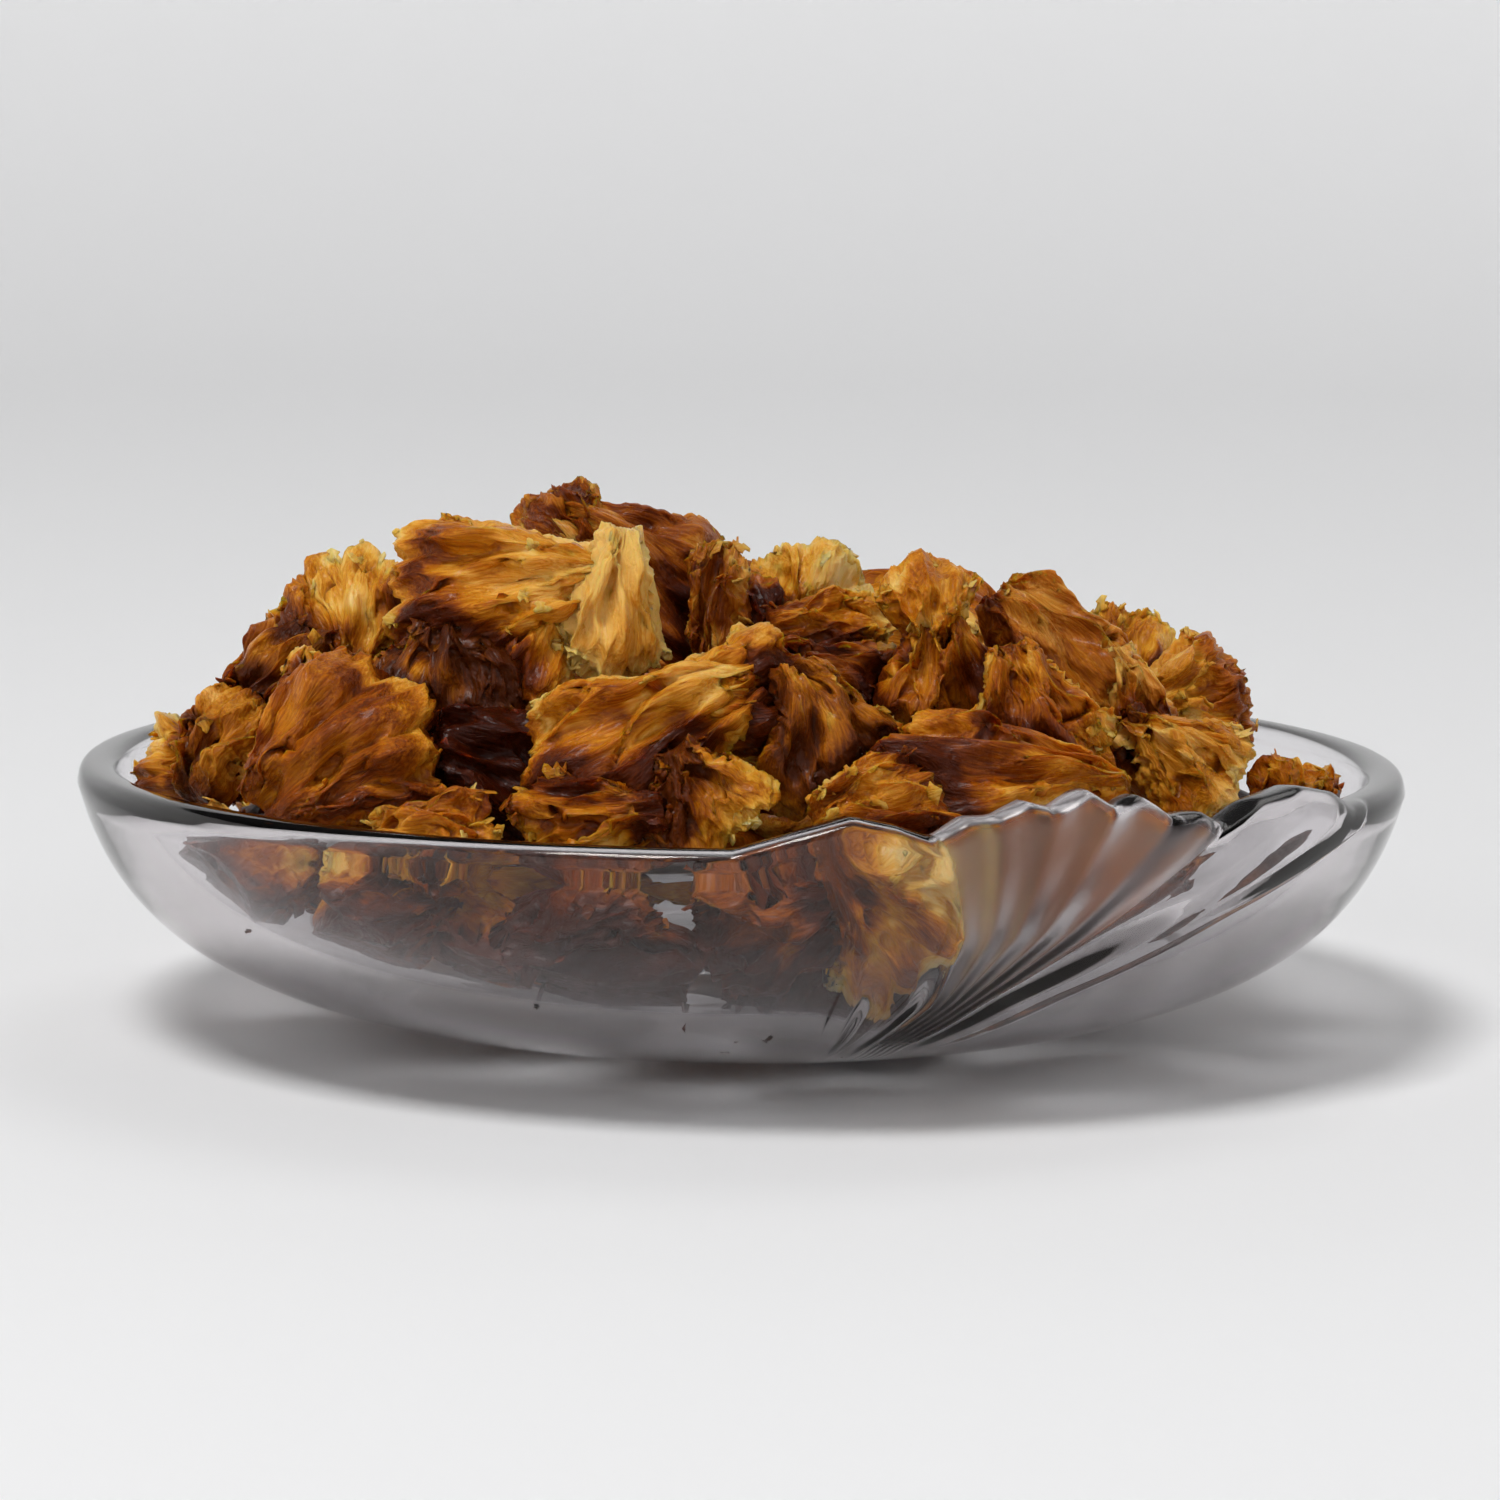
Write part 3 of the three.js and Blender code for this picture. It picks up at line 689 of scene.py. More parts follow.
@dataclass(frozen=True)
class Shreds:
    """Torn ends of fibre that stand off a piece's edges and skin, in millimetres."""

    count: int = 22
    length: tuple[float, float] = (1.0, 2.6)
    width: tuple[float, float] = (0.8, 2.2)
    thickness: float = 0.3
    lift: tuple[float, float] = (0.0, 0.55)

    def rows(self, slab: np.ndarray, dice: np.random.Generator) -> np.ndarray:
        """One shred's points along its length, across it and off it, before it is set on its piece.

        Args:
            slab: A flat slab's points, from -1 to 1 each way.
            dice: The piece's own repeatable draws.

        Returns:
            The points.
        """
        along = (slab[:, 0] + 1.0) / 2.0
        length = dice.uniform(*self.length)
        ragged = 1.0 + 0.5 * np.sin(9.0 * along + 3.0 * slab[:, 1] + dice.uniform(0.0, 6.0))
        half = 0.5 * dice.uniform(*self.width) * (1.0 - along**3) ** 0.5 * ragged + 0.1
        sway = dice.uniform(-0.9, 0.9) * along**2
        curl = dice.uniform(-0.9, 0.5) * along**2 * length * 0.5
        thick = 0.5 * self.thickness * (1.0 - 0.6 * along)
        return np.stack((along * length, slab[:, 1] * half + sway, curl + slab[:, 2] * thick), axis=1)


class FineMesh:
    """Fine wedges joined in one mesh, kept to the place of the CAD solid that they stand for."""

    def __init__(self, node: str, glass_and_fruit: dict[str, "Solid"]) -> None:
        """Finds the solid and its neighbours.

        Args:
            node: The CAD node's name.
            glass_and_fruit: Every CAD solid by name.
        """
        self.node = node
        self.solid = glass_and_fruit[node]
        others = [solid for name, solid in glass_and_fruit.items() if name != node]
        self.around = Solid.joined([solid for solid in others if solid.near(self.solid)])
        self.mesh = bmesh.new()

    def keep_in_place(self, points: np.ndarray) -> np.ndarray:
        """Draws points that stand out of the solid back to it, further where a neighbour is near.

        Args:
            points: Points in metres.

        Returns:
            The points, moved.
        """
        kept = points.copy()
        for i, point in enumerate(points):
            place, normal, _, distance = self.solid.tree.find_nearest(point)
            if place is None or distance < 1e-7:
                continue
            away = Vector(point) - place
            if away.dot(normal) <= 0.0:
                continue
            gap = self.around.find_nearest(place, STAND_PROUD * MM * 4.0)[3]
            room = STAND_PROUD * MM if gap is None else GAP_SHARE * gap
            limit = min(max(room, CLOSEST * MM), STAND_PROUD * MM)
            kept[i] = place + away * (limit * math.tanh(distance / limit) / distance)
        return kept

    def gap_shade_mask(self, points: np.ndarray) -> np.ndarray:
        """How deep each point lies among its neighbours, from 0 in the open to 1 against one of them; it
        masks the painted shade between pieces.
        """
        gaps = [self.around.find_nearest(point, PAINTED_GAP_SHADE_REACH * MM)[3] for point in points]
        return np.array([0.0 if gap is None else 1.0 - gap / (PAINTED_GAP_SHADE_REACH * MM) for gap in gaps])

    def add(self, wedge: Wedge, sheet: Sheet, shreds: Shreds) -> None:
        """Adds one fine wedge with its torn shreds.

        Args:
            wedge: Its sizes and place.
            sheet: Its grid.
            shreds: Its torn ends.
        """
        part = sheet.slab()
        tone_and_shade_layer = part.verts.layers.float.new("tone")
        lay_layer = part.verts.layers.float_vector.new("lay")
        form = WedgeForm(wedge, np.array([vertex.co for vertex in part.verts]))
        base = form.base()
        for vertex, point in zip(part.verts, base):
            vertex.co = point
        part.normal_update()
        normals = np.array([vertex.normal for vertex in part.verts])
        relief = form.relief()
        placing = np.array(wedge.placing())
        points = (base + normals * relief[:, None] + form.crumple()) @ placing[:3, :3].T + placing[:3, 3]
        points = self.keep_in_place(points * MM)
        # Painted shade: flesh near a neighbouring piece is painted darker, by how near it lies.
        tone = (form.tone(relief) - PAINTED_GAP_SHADE * self.gap_shade_mask(points)).clip(0.0, 1.0)
        lay = form.lay()
        for vertex, point, value, place in zip(part.verts, points, tone, lay):
            vertex.co = point
            vertex[tone_and_shade_layer] = value
            vertex[lay_layer] = place
        part.normal_update()
        normals = np.array([vertex.normal for vertex in part.verts])
        self.join(part)
        self.add_shreds(wedge, shreds, form, points, normals, tone, lay, placing)

    def join(self, part: bmesh.types.BMesh) -> None:
        """Joins a finished part to the mesh and frees it."""
        holder = bpy.data.meshes.new("part")
        part.to_mesh(holder)
        part.free()
        self.mesh.from_mesh(holder)
        bpy.data.meshes.remove(holder)

    def clear_of_others(self, places: np.ndarray) -> bool:
        """True if points in metres stay off the neighbours and inside the model's box."""
        low, high = np.array(CAD_BOX[0]), np.array(CAD_BOX[1])
        if np.any(places < low + 0.1 * MM) or np.any(places > high - 0.1 * MM):
            return False
        for place in places:
            near, normal, _, distance = self.around.find_nearest(place, 6.0 * MM)
            if near is not None and (distance < 0.2 * MM or (Vector(place) - near).dot(normal) < 0.0):
                return False
        return True

    def add_shreds(
        self,
        wedge: Wedge,
        shreds: Shreds,
        form: WedgeForm,
        points: np.ndarray,
        normals: np.ndarray,
        tone: np.ndarray,
        lay: np.ndarray,
        placing: np.ndarray,
    ) -> None:
        """Sets torn shreds on a wedge, most of them along its edges.

        Args:
            wedge: The wedge.
            shreds: Their sizes and number.
            form: The wedge's form.
            points: The wedge's finished points, in metres.
            normals: Which way the skin faces at each point.
            tone: How light the flesh is at each point.
            lay: Each point's place in the flat flesh.
            placing: The wedge's turn and place in the heap.
        """
        dice = np.random.default_rng(int(1000 * wedge.seed))
        likely = 0.1 + 1.5 * smooth((form.u - 0.85) / 0.15) + smooth((np.abs(form.v) - 0.85) / 0.15)
        # Blender numbers a slab's vertices differently from run to run, so the draw follows their places.
        order = np.lexsort(np.round((form.side, form.v, form.u), 4))
        chances = likely[order] / likely.sum()
        roots = order[dice.choice(len(order), size=shreds.count, replace=False, p=chances)]
        outward = placing[:3, 0]
        for root in roots:
            part = SHRED_SHEET.slab()
            tone_and_shade_layer = part.verts.layers.float.new("tone")
            lay_layer = part.verts.layers.float_vector.new("lay")
            rows = shreds.rows(np.array([vertex.co for vertex in part.verts]), dice)
            normal = normals[root]
            way = outward + dice.normal(0.0, 0.6, 3)
            way -= normal * way.dot(normal)
            way /= max(np.linalg.norm(way), 1e-6)
            lift = dice.uniform(*shreds.lift)
            ahead = way * math.cos(lift) + normal * math.sin(lift)
            off = normal * math.cos(lift) - way * math.sin(lift)
            beside = np.cross(off, ahead)
            start = points[root] / MM - 0.35 * normal - 0.6 * way
            places = (start + rows[:, :1] * ahead + rows[:, 1:2] * beside + rows[:, 2:] * off) * MM
            if not self.clear_of_others(places[np.argsort(-rows[:, 0])[:6]]):
                part.free()
                continue
            for vertex, place, row in zip(part.verts, places, rows):
                vertex.co = place
                vertex[tone_and_shade_layer] = min(tone[root] + 0.1 + 0.1 * row[0], 1.0)
                vertex[lay_layer] = lay[root] + row * 0.1
            self.join(part)

    def object(self, material: bpy.types.Material) -> bpy.types.Object:
        """Makes the joined mesh an object with one material."""
        return place_in_scene(self.mesh, f"fine_{self.node}", material)


class Solid:
    """A CAD node's surface, for finding the nearest point on it."""

    def __init__(self, corners: np.ndarray, triangles: list[tuple[int, ...]]) -> None:
        """Keeps the surface and its box."""
        self.corners = corners
        self.triangles = triangles
        self.low = corners.min(axis=0)
        self.high = corners.max(axis=0)
        self.tree = BVHTree.FromPolygons(corners.tolist(), triangles)

    @classmethod
    def of(cls, cad: bpy.types.Object) -> "Solid":
        """The surface of a CAD node."""
        corners = np.array([vertex.co for vertex in cad.data.vertices])
        return cls(corners, [tuple(face.vertices) for face in cad.data.polygons])

    def near(self, other: "Solid", reach: float = 4.0 * MM) -> bool:
        """True if the two boxes come within reach of each other."""
        return bool(np.all(self.low - reach < other.high) and np.all(other.low - reach < self.high))

    @staticmethod
    def joined(solids: Sequence["Solid"]) -> BVHTree:
        """One tree over several surfaces."""
        corners: list[list[float]] = []
        triangles: list[tuple[int, ...]] = []
        for solid in solids:
            start = len(corners)
            corners += solid.corners.tolist()
            triangles += [tuple(k + start for k in triangle) for triangle in solid.triangles]
        return BVHTree.FromPolygons(corners, triangles)


SHRED_SHEET = Sheet(5, 2, 0)


@dataclass(frozen=True)
class FruitPiece:
    """A piece of the heap: its main wedge, any torn flaps on it, and its finish."""

    name: str
    finish: FruitFinish
    wedge: Wedge
    flaps: tuple[Wedge, ...] = ()
    sheet: Sheet = Sheet(46, 72)
    shreds: Shreds = Shreds()

    def build(self, solids: dict[str, Solid], materials: dict[Slot, bpy.types.Material]) -> bpy.types.Object:
        """Builds the piece in the place of its CAD node.

        Args:
            solids: Every CAD solid by name.
            materials: The built finishes.

        Returns:
            The finished object.
        """
        fine = FineMesh(self.name, solids)
        fine.add(self.wedge, self.sheet, self.shreds)
        flap_sheet = Sheet(max(8, int(self.sheet.along * 0.65)), max(10, int(self.sheet.across * 0.65)))
        for flap in self.flaps:
            fine.add(flap, flap_sheet, replace(self.shreds, count=self.shreds.count // 2))
        made = fine.object(materials[self.finish.slot])
        stand_for(made, self.name)
        return made


# The pieces that show from the front and the top: each one's name, finish, main wedge and torn flaps.
HEAP: tuple[tuple, ...] = (
    (
        "crest_fan", AMBER,
        Wedge((-32, -30, 61.5), (-8, 14), 190, 8, 28, 46, 14, 1, (-15, -25), 8, tone=0.18, to_rind=-0.4),
        Wedge((-17, -33, 59), (14, 6), -97, 8, 22, 38, 10, 101, folds=3, tone=0.52, to_rind=-0.1),
        Wedge((-27, -34, 54), (0, 10), -112, 5, 12, 48, 7, 102, folds=2, tone=0.3),
    ),
    (
        "top_fold", BROWN,
        Wedge((-15.5, -10, 62.5), (10, 30), -38, 8, 28, 46, 12, 2, (-35, -40), 10, tone=0.08),
        Wedge((-24, -10, 69), (0, 20), 125, 4, 11, 60, 8, 103, folds=2, tone=0.0),
    ),
    (
        "top_shards", BROWN,
        Wedge((-3, -20, 60), (-25, 10), 92, 12, 18, 22, 8, 3, (15, 20), 10, folds=2, tone=0.1),
        Wedge((2, -18, 58), (20, 15), 78, 8, 13, 26, 7, 104, folds=2, tone=0.1),
    ),
    (
        "round_fan", GOLDEN,
        Wedge((8.5, -9, 59.5), (5, 18), 76, 3, 15, 80, 8, 4, (10, -15), tone=0.2, rough=0.75),
    ),
    (
        "amber_band", AMBER,
        Wedge((12, -20, 55.5), (5, 30), 4, 22, 18, 18, 10, 5, (60, -20), folds=3, tone=0.12),
    ),
    (
        "centre_fan", AMBER,
        Wedge((-13, -50, 44), (-6, 22), 210, 8, 33, 42, 14, 6, (-20, -30), -10, tone=0.17, to_rind=-0.1),
        Wedge((0, -46, 50), (8, 28), 15, 6, 19, 56, 11, 105, folds=3, tone=0.05),
    ),
    (
        "centre_lobe", OLIVE,
        Wedge((10, -49, 45.5), (28, 18), -72, 5, 18, 64, 12, 7, (-20, -40), folds=3, tone=0.05),
    ),
    (
        "rim_curl", GOLDEN,
        Wedge((-5, -58, 38.5), (-8, 12), -62, 5, 14, 66, 7, 8, (45, 35), folds=3, tone=-0.05),
    ),
    (
        "lower_lip", AMBER,
        Wedge((-19, -58, 36), (-6, 30), 184, 10, 20, 28, 8, 9, (30, -10), folds=3, tone=0.1),
    ),
    (
        "tall_knob", AMBER,
        Wedge((26, -31, 51), (8, 10), -86, 6, 17, 56, 12, 10, (-15, -25), tone=0.0, rough=0.8),
        Wedge((24, -30, 61), (0, 8), 96, 3, 12, 66, 13, 106, folds=3, tone=0.0),
    ),
    (
        "ridge_fan", BROWN,
        Wedge((42, -25, 52.5), (12, 22), -48, 8, 24, 42, 15, 11, (-20, -45), 6, tone=0.18),
        Wedge((51, -28, 48), (10, 15), -76, 10, 14, 26, 10, 107, folds=2, tone=0.4),
    ),
    (
        "front_fan", AMBER,
        Wedge((37, -42, 47), (5, 30), -76, 4, 19, 68, 11, 12, (-10, -30), tone=0.02),
    ),
    (
        "long_wedge", AMBER,
        Wedge((33, -53, 41), (6, 36), 172, 4, 31, 34, 12, 13, (20, -30), 8,
              folds=3, tone=-0.02, fibre=0.7, rough=0.6),
    ),
    (
        "frill_bits", AMBER,
        Wedge((18, -61, 38.5), (0, 32), 18, 7, 17, 50, 11, 14, (10, 20), folds=3, tone=0.05),
    ),
    (
        "left_block", AMBER,
        Wedge((-51, -44, 42.5), (-12, 18), 42, 9, 24, 58, 17, 15, (-18, -30), -6,
              folds=5, tone=-0.12, to_rind=0.25, rough=0.8),
    ),
    (
        "left_tip", GOLDEN,
        Wedge((-73, -24, 37), (-25, 32), 178, 6, 16, 42, 10, 16, (10, -15), folds=3, tone=0.22),
    ),
    (
        "left_olive", OLIVE,
        Wedge((-67, -29, 41), (-30, 25), 78, 6, 16, 46, 12, 17, (20, -30), folds=3, tone=0.1),
    ),
    (
        "pale_frill", GOLDEN,
        Wedge((-52, -17, 56.5), (-10, 18), 100, 4, 18, 74, 10, 18, (-15, 25), pleat=3, tone=0.22),
    ),
    (
        "mid_olive", OLIVE,
        Wedge((-60, -22, 49), (-30, 22), 48, 6, 16, 44, 11, 19, (-10, -20), folds=3, tone=0.1),
    ),
    (
        "left_back_knob", BROWN,
        Wedge((-60, -1, 47), (-28, 20), 58, 5, 20, 56, 20, 20, (-15, -30), folds=3),
    ),
    (
        "right_back_fan", GOLDEN,
        Wedge((53, 0, 50), (10, 25), 58, 5, 15, 58, 8, 21, (10, -15), folds=3, tone=-0.1),
    ),
    (
        "right_knob", AMBER,
        Wedge((61, -10, 46.5), (22, 20), 12, 5, 17, 62, 14, 22, (15, -30),
              folds=3, tone=0.05, to_rind=-0.4),
    ),
    (
        "right_rag", OLIVE,
        Wedge((57, -35, 40), (10, 30), -40, 6, 20, 46, 11, 23, (10, 25), pleat=3, tone=0.15),
    ),
    (
        "right_cube", AMBER,
        Wedge((74, -13, 34.5), (20, 35), 90, 5, 9, 64, 11, 24, folds=2, tone=-0.1),
    ),
    (
        "dark_strip", BROWN,
        Wedge((10, -29, 50), (5, 45), -12, 10, 20, 30, 10, 25, (10, 20), folds=3, tone=0.05),
    ),
    (
        "inner_rag", OLIVE,
        Wedge((-38, -34.5, 50.5), (-5, 20), -88, 6, 16, 74, 8, 26, pleat=3, folds=3, tone=0.12),
    ),
    # Painted shade: this piece's flesh is painted near black to stand for the deep shadow in the hollow
    # behind the front pieces.
    (
        "inner_dark", BROWN,
        Wedge((-32, -40, 39.5), (5, 25), -25, 6, 22, 50, 12, 27, (-10, -20), folds=3, tone=-0.9),
    ),
    (
        "rim_chip", AMBER,
        Wedge((-38, -64, 34), (-25, 38), 4, 8, 15, 38, 10, 28, (-10, -20), folds=3, tone=0.1, to_rind=-0.4),
    ),
    (
        "glass_fan", AMBER,
        Wedge((-43, -58, 24), (-38, -25), 195, 6, 22, 46, 11, 29, (-15, -35),
              folds=3, tone=0.22, rough=0.7),
        Wedge((-31, -63, 22), (-28, -22), -32, 12, 18, 24, 10, 108, folds=2, tone=0.3),
    ),
    (
        "glass_left", BROWN,
        Wedge((-62, -42, 27), (-55, -20), 172, 8, 24, 28, 10, 30, (0, -30), folds=3, tone=0.3),
    ),
    (
        "glass_chip", BROWN,
        Wedge((-18, -66, 21.5), (-15, -25), -4, 7, 25, 44, 11, 31, (0, -20), folds=3, tone=-0.12),
    ),
    (
        "glass_centre", BROWN,
        Wedge((4, -68, 25), (4, -22), 208, 6, 22, 48, 12, 32, (0, -30), folds=3, tone=0.0),
    ),
    (
        "rind_slice", GOLDEN,
        Wedge((19, -69, 27), (16, -16), -40, 4, 19, 74, 11, 33, (0, -20),
              tone=0.36, to_rind=0.7, rough=0.6),
    ),
    (
        "glass_lumps", BROWN,
        Wedge((9, -60, 14), (8, -40), 10, 6, 20, 50, 11, 34, (0, -20), folds=3, tone=0.0),
    ),
)


@dataclass(frozen=True)
class Arc:
    """An arc of pieces below or behind the ones in front, at angles from the front."""

    name: str
    angles: tuple[float, ...]
    radius: float
    height: float
    tip: float
    size: float
    sheet: Sheet

    def pieces(self, number: int) -> list[FruitPiece]:
        """The arc's pieces.

        Args:
            number: The arc's place in the list of arcs, which its pieces' draws follow.

        Returns:
            One piece for each angle.
        """
        made = []
        for i, angle in enumerate(self.angles):
            seed = 40 + 10 * number + i
            around = angle + 6.0 * (draw(seed) - 0.5)
            out = self.radius + 4.0 * (draw(seed + 0.2) - 0.5)
            height = self.height + 2.0 * (draw(seed + 0.4) - 0.5)
            turn = math.radians(around)
            wedge = Wedge(
                at=(out * math.sin(turn), -out * math.cos(turn), height),
                face=(around + 180.0, 90.0 - self.tip),
                fan=360.0 * draw(seed + 0.6),
                core=6.0 * self.size,
                reach=28.0 * self.size,
                spread=56.0,
                thick=12.0 * self.size,
                seed=seed,
                curl=(-18.0, -25.0),
                twist=12.0 * (draw(seed + 0.8) - 0.5),
                folds=3,
                tone=0.16 * (draw(seed + 0.9) - 0.4),
            )
            finish = (AMBER, BROWN, AMBER, OLIVE, GOLDEN)[seed % 5]
            torn = Shreds(0) if self.sheet == HIDDEN else Shreds(12)
            made.append(FruitPiece(f"{self.name}_piece_{i + 1}", finish, wedge, (), self.sheet, torn))
        return made


HIDDEN = Sheet(14, 18, 2)
HALF_SEEN = Sheet(30, 40, 5)
ARCS = (
    Arc("floor", (30, 150, 270), 27, 12.5, 4, 1.35, HIDDEN),
    Arc("wall", (42, 84, 126, 168, 210, 252, 294), 60, 24, 30, 1.25, HALF_SEEN),
    Arc("inner", (-20, 70, 160, 250), 27, 26, 8, 1.25, HIDDEN),
    Arc("back_rim", (104, 149, 198, 251), 57, 37, -24, 1.2, Sheet(40, 54, 7)),
    Arc("middle", (15, 105, 195, 285), 24, 40, 12, 1.2, HALF_SEEN),
    Arc("back", (126, 182, 238), 36, 50, -34, 1.2, Sheet(40, 54, 7)),
)


@dataclass(frozen=True)
class GlassDish:
    """The pressed-glass dish with its two scallop-shell fans.

    Angles are in degrees round the dish, and heights and lengths in millimetres. The rim's rises are pairs of
    angle and height. Each row of the sweep is a height and the angles of the shell's four main lines there.
    """

    shells: int = 2
    turns: int = 600
    rim_rise: tuple[tuple[float, float], ...] = (
        (-0.4, 0), (4, 2.1), (8.6, 4.1), (12, 3), (15.2, 1.3), (17.7, 3.7), (20.2, 3.6), (22.7, 5.4),
        (25.4, 4.3), (28, 6.5), (31.1, 4), (33.1, 5.3), (36.8, 2.3), (39.5, 2.5), (42.7, 0.3), (47, 3),
        (51.8, 4), (57, 2.4), (60.5, 0), (63.3, 0),
    )
    valleys: tuple[float, ...] = (15.2, 20.2, 25.4, 31.1, 36.8, 42.7)
    sweep: tuple[tuple[float, ...], ...] = (
        (8.6, 7, 14, 18, 21.5), (16, 6, 17.5, 22.5, 28), (25, 3.5, 18.4, 30.5, 42), (33.9, 0.2, 16.6, 39, 61),
        (36.6, -0.4, 15.2, 42.7, 63.3),
    )
    outer_bend: tuple[tuple[float, float], ...] = ((67.0, 3.8), (84.3, 12.0))
    inner_bend: tuple[tuple[float, float], ...] = ((64.0, 8.5), (78.5, 17.0))
    step_width: float = 1.8
    rise_from: float = 24.0
    relief_heights: tuple[float, float] = (2.0, 24.0)
    crescent_heights: tuple[float, ...] = (5.0, 10.0, 15.0, 24.0)
    crescents_from: float = 5.5
    crescent_width: float = 3.2
    lip_full_at: float = 56.0
    lip_height: float = 20.0
    flute_depth: float = 1.0
    crescent_depth: float = 0.8
    lobe_bulge: float = 1.1
    lip_bulge: float = 1.3
    inner_relief: float = 0.25
    frost_margin: float = 0.2
    frost_heights: tuple[float, float] = (8.0, 11.0)
    crest_heights: tuple[float, float] = (34.6, 35.8)
    satin_shell: float = 0.3
    satin_rim: float = 0.1

    def profile(self) -> tuple[np.ndarray, int]:
        """The wall's outline as radius and height, from the foot's centre up and over to the floor's centre.

        Returns:
            The points, and how many of them lie on the outside.
        """
        outer = self._bezier((FOOT_RADIUS, 0.0), *self.outer_bend, (RIM_RADIUS, WIDEST_HEIGHT), steps=34)
        lip_corners = np.array(
            [
                (RIM_RADIUS, WIDEST_HEIGHT), (RIM_RADIUS - 0.5, WIDEST_HEIGHT + 1.8),
                (CREST_RADIUS + 0.7, CREST_HEIGHT), (CREST_RADIUS - 1.6, CREST_HEIGHT - 0.1),
                (INNER_RIM_RADIUS + 0.4, WIDEST_HEIGHT + 1.6), (INNER_RIM_RADIUS, WIDEST_HEIGHT),
            ]
        )
        lip = self._rounded(lip_corners, 14)
        inner = self._bezier(
            (FOOT_RADIUS, FLOOR_HEIGHT), *self.inner_bend, (INNER_RIM_RADIUS, WIDEST_HEIGHT), steps=26
        )
        foot = np.stack((np.linspace(0.0, FOOT_RADIUS, 7)[:-1], np.zeros(6)), axis=1)
        floor = np.stack((np.linspace(FOOT_RADIUS, 0.0, 7)[1:], np.full(6, FLOOR_HEIGHT)), axis=1)
        outside = len(foot) + len(outer) + len(lip) // 2
        return np.concatenate((foot, outer, lip[1:-1], inner[::-1], floor)), outside

    @staticmethod
    def _bezier(*corners: tuple[float, float], steps: int) -> np.ndarray:
        """Points on a cubic Bezier curve with these four corners."""
        t = np.linspace(0.0, 1.0, steps + 1)[:, None]
        a, b, c, d = (np.array(corner, float) for corner in corners)
        return a * (1 - t) ** 3 + 3 * b * t * (1 - t) ** 2 + 3 * c * t * t * (1 - t) + d * t**3

    @staticmethod
    def _rounded(corners: np.ndarray, steps: int) -> np.ndarray:
        """A smooth curve through the corners, by Catmull-Rom pieces."""
        ends = np.concatenate((2 * corners[:1] - corners[1:2], corners, 2 * corners[-1:] - corners[-2:-1]))
        places = np.linspace(0.0, len(corners) - 1.0, steps + 1)
        made = []
        for place in places:
            k = min(int(place), len(corners) - 2)
            t = place - k
            p0, p1, p2, p3 = ends[k : k + 4]
            square = (2 * p0 - 5 * p1 + 4 * p2 - p3) * t * t
            cube = (3 * p1 - p0 - 3 * p2 + p3) * t**3
            made.append(0.5 * (2 * p1 + (p2 - p0) * t + square + cube))
        return np.array(made)

    def swept(self, angle: np.ndarray, height: np.ndarray) -> np.ndarray:
        """Each column's angle at a height: the shell's lines sweep round to meet low on the wall."""
        rows = np.array(self.sweep)
        pitch = 360.0 / self.shells
        edges = [np.interp(height, rows[:, 0], rows[:, k]) for k in (1, 2, 3, 4)]
        rim = rows[-1, 1:]
        marks = [*rim, pitch + rim[0]]
        edges.append(edges[0] + pitch)
        result = np.zeros(len(angle))
        for k in range(4):
            share = (angle - marks[k]) / (marks[k + 1] - marks[k])
            within = (share >= 0.0) & (share <= 1.0)
            result[within] = (edges[k] + (edges[k + 1] - edges[k]) * share)[within]
        return result

    def relief(self, angle: np.ndarray, height: np.ndarray) -> np.ndarray:
        """How far the shell stands out of the plain wall, in millimetres."""
        start, end = self.rim_rise[0][0], self.rim_rise[-1][0]
        first, last = self.valleys[0], self.valleys[-1]
        fade = eased(height, *self.relief_heights)
        lobe = self.lobe_bulge * np.sin(np.pi * ((angle - start) / (first - start)).clip(0, 1)) * fade
        low, low_full, high_full, high = self.crescent_heights
        low_bend = eased(height, low, low_full) * (1.0 - eased(height, high_full, high))
        crescent = np.sin(np.pi * (angle - self.crescents_from) / self.crescent_width).clip(0, 1)
        crescent *= (angle > self.crescents_from) & (angle < first)
        lobe += self.crescent_depth * crescent * low_bend
        marks = np.array(self.valleys)
        k = np.clip(np.searchsorted(marks, angle) - 1, 0, len(marks) - 2)
        arch = np.sin(np.pi * ((angle - marks[k]) / (marks[k + 1] - marks[k])).clip(0, 1))
        flute = self.flute_depth * (0.55 * arch + 0.45 * arch**2) * fade
        step = 1.0 - ((angle - end) / self.step_width).clip(0, 1)
        lip = self.lip_bulge * eased(angle, last, self.lip_full_at) * eased(height, 0.0, self.lip_height)
        return np.where(angle < first, lobe, np.where(angle <= last, flute, lip * step))

    def frost(self, angle: np.ndarray, height: np.ndarray, on_outside: np.ndarray) -> np.ndarray:
        """How etched the glass is: fully outside on the fans, and a little satin on the rim's crest."""
        first, last = self.valleys[0], self.valleys[-1]
        fan = (angle > first + self.frost_margin) & (angle < last) & on_outside
        crest = eased(height, *self.crest_heights)
        satin = np.where((angle > first) & (angle < self.rim_rise[-1][0]), self.satin_shell, self.satin_rim)
        return np.where(fan, eased(height, *self.frost_heights), 0.0) * (1.0 - crest) + satin * crest

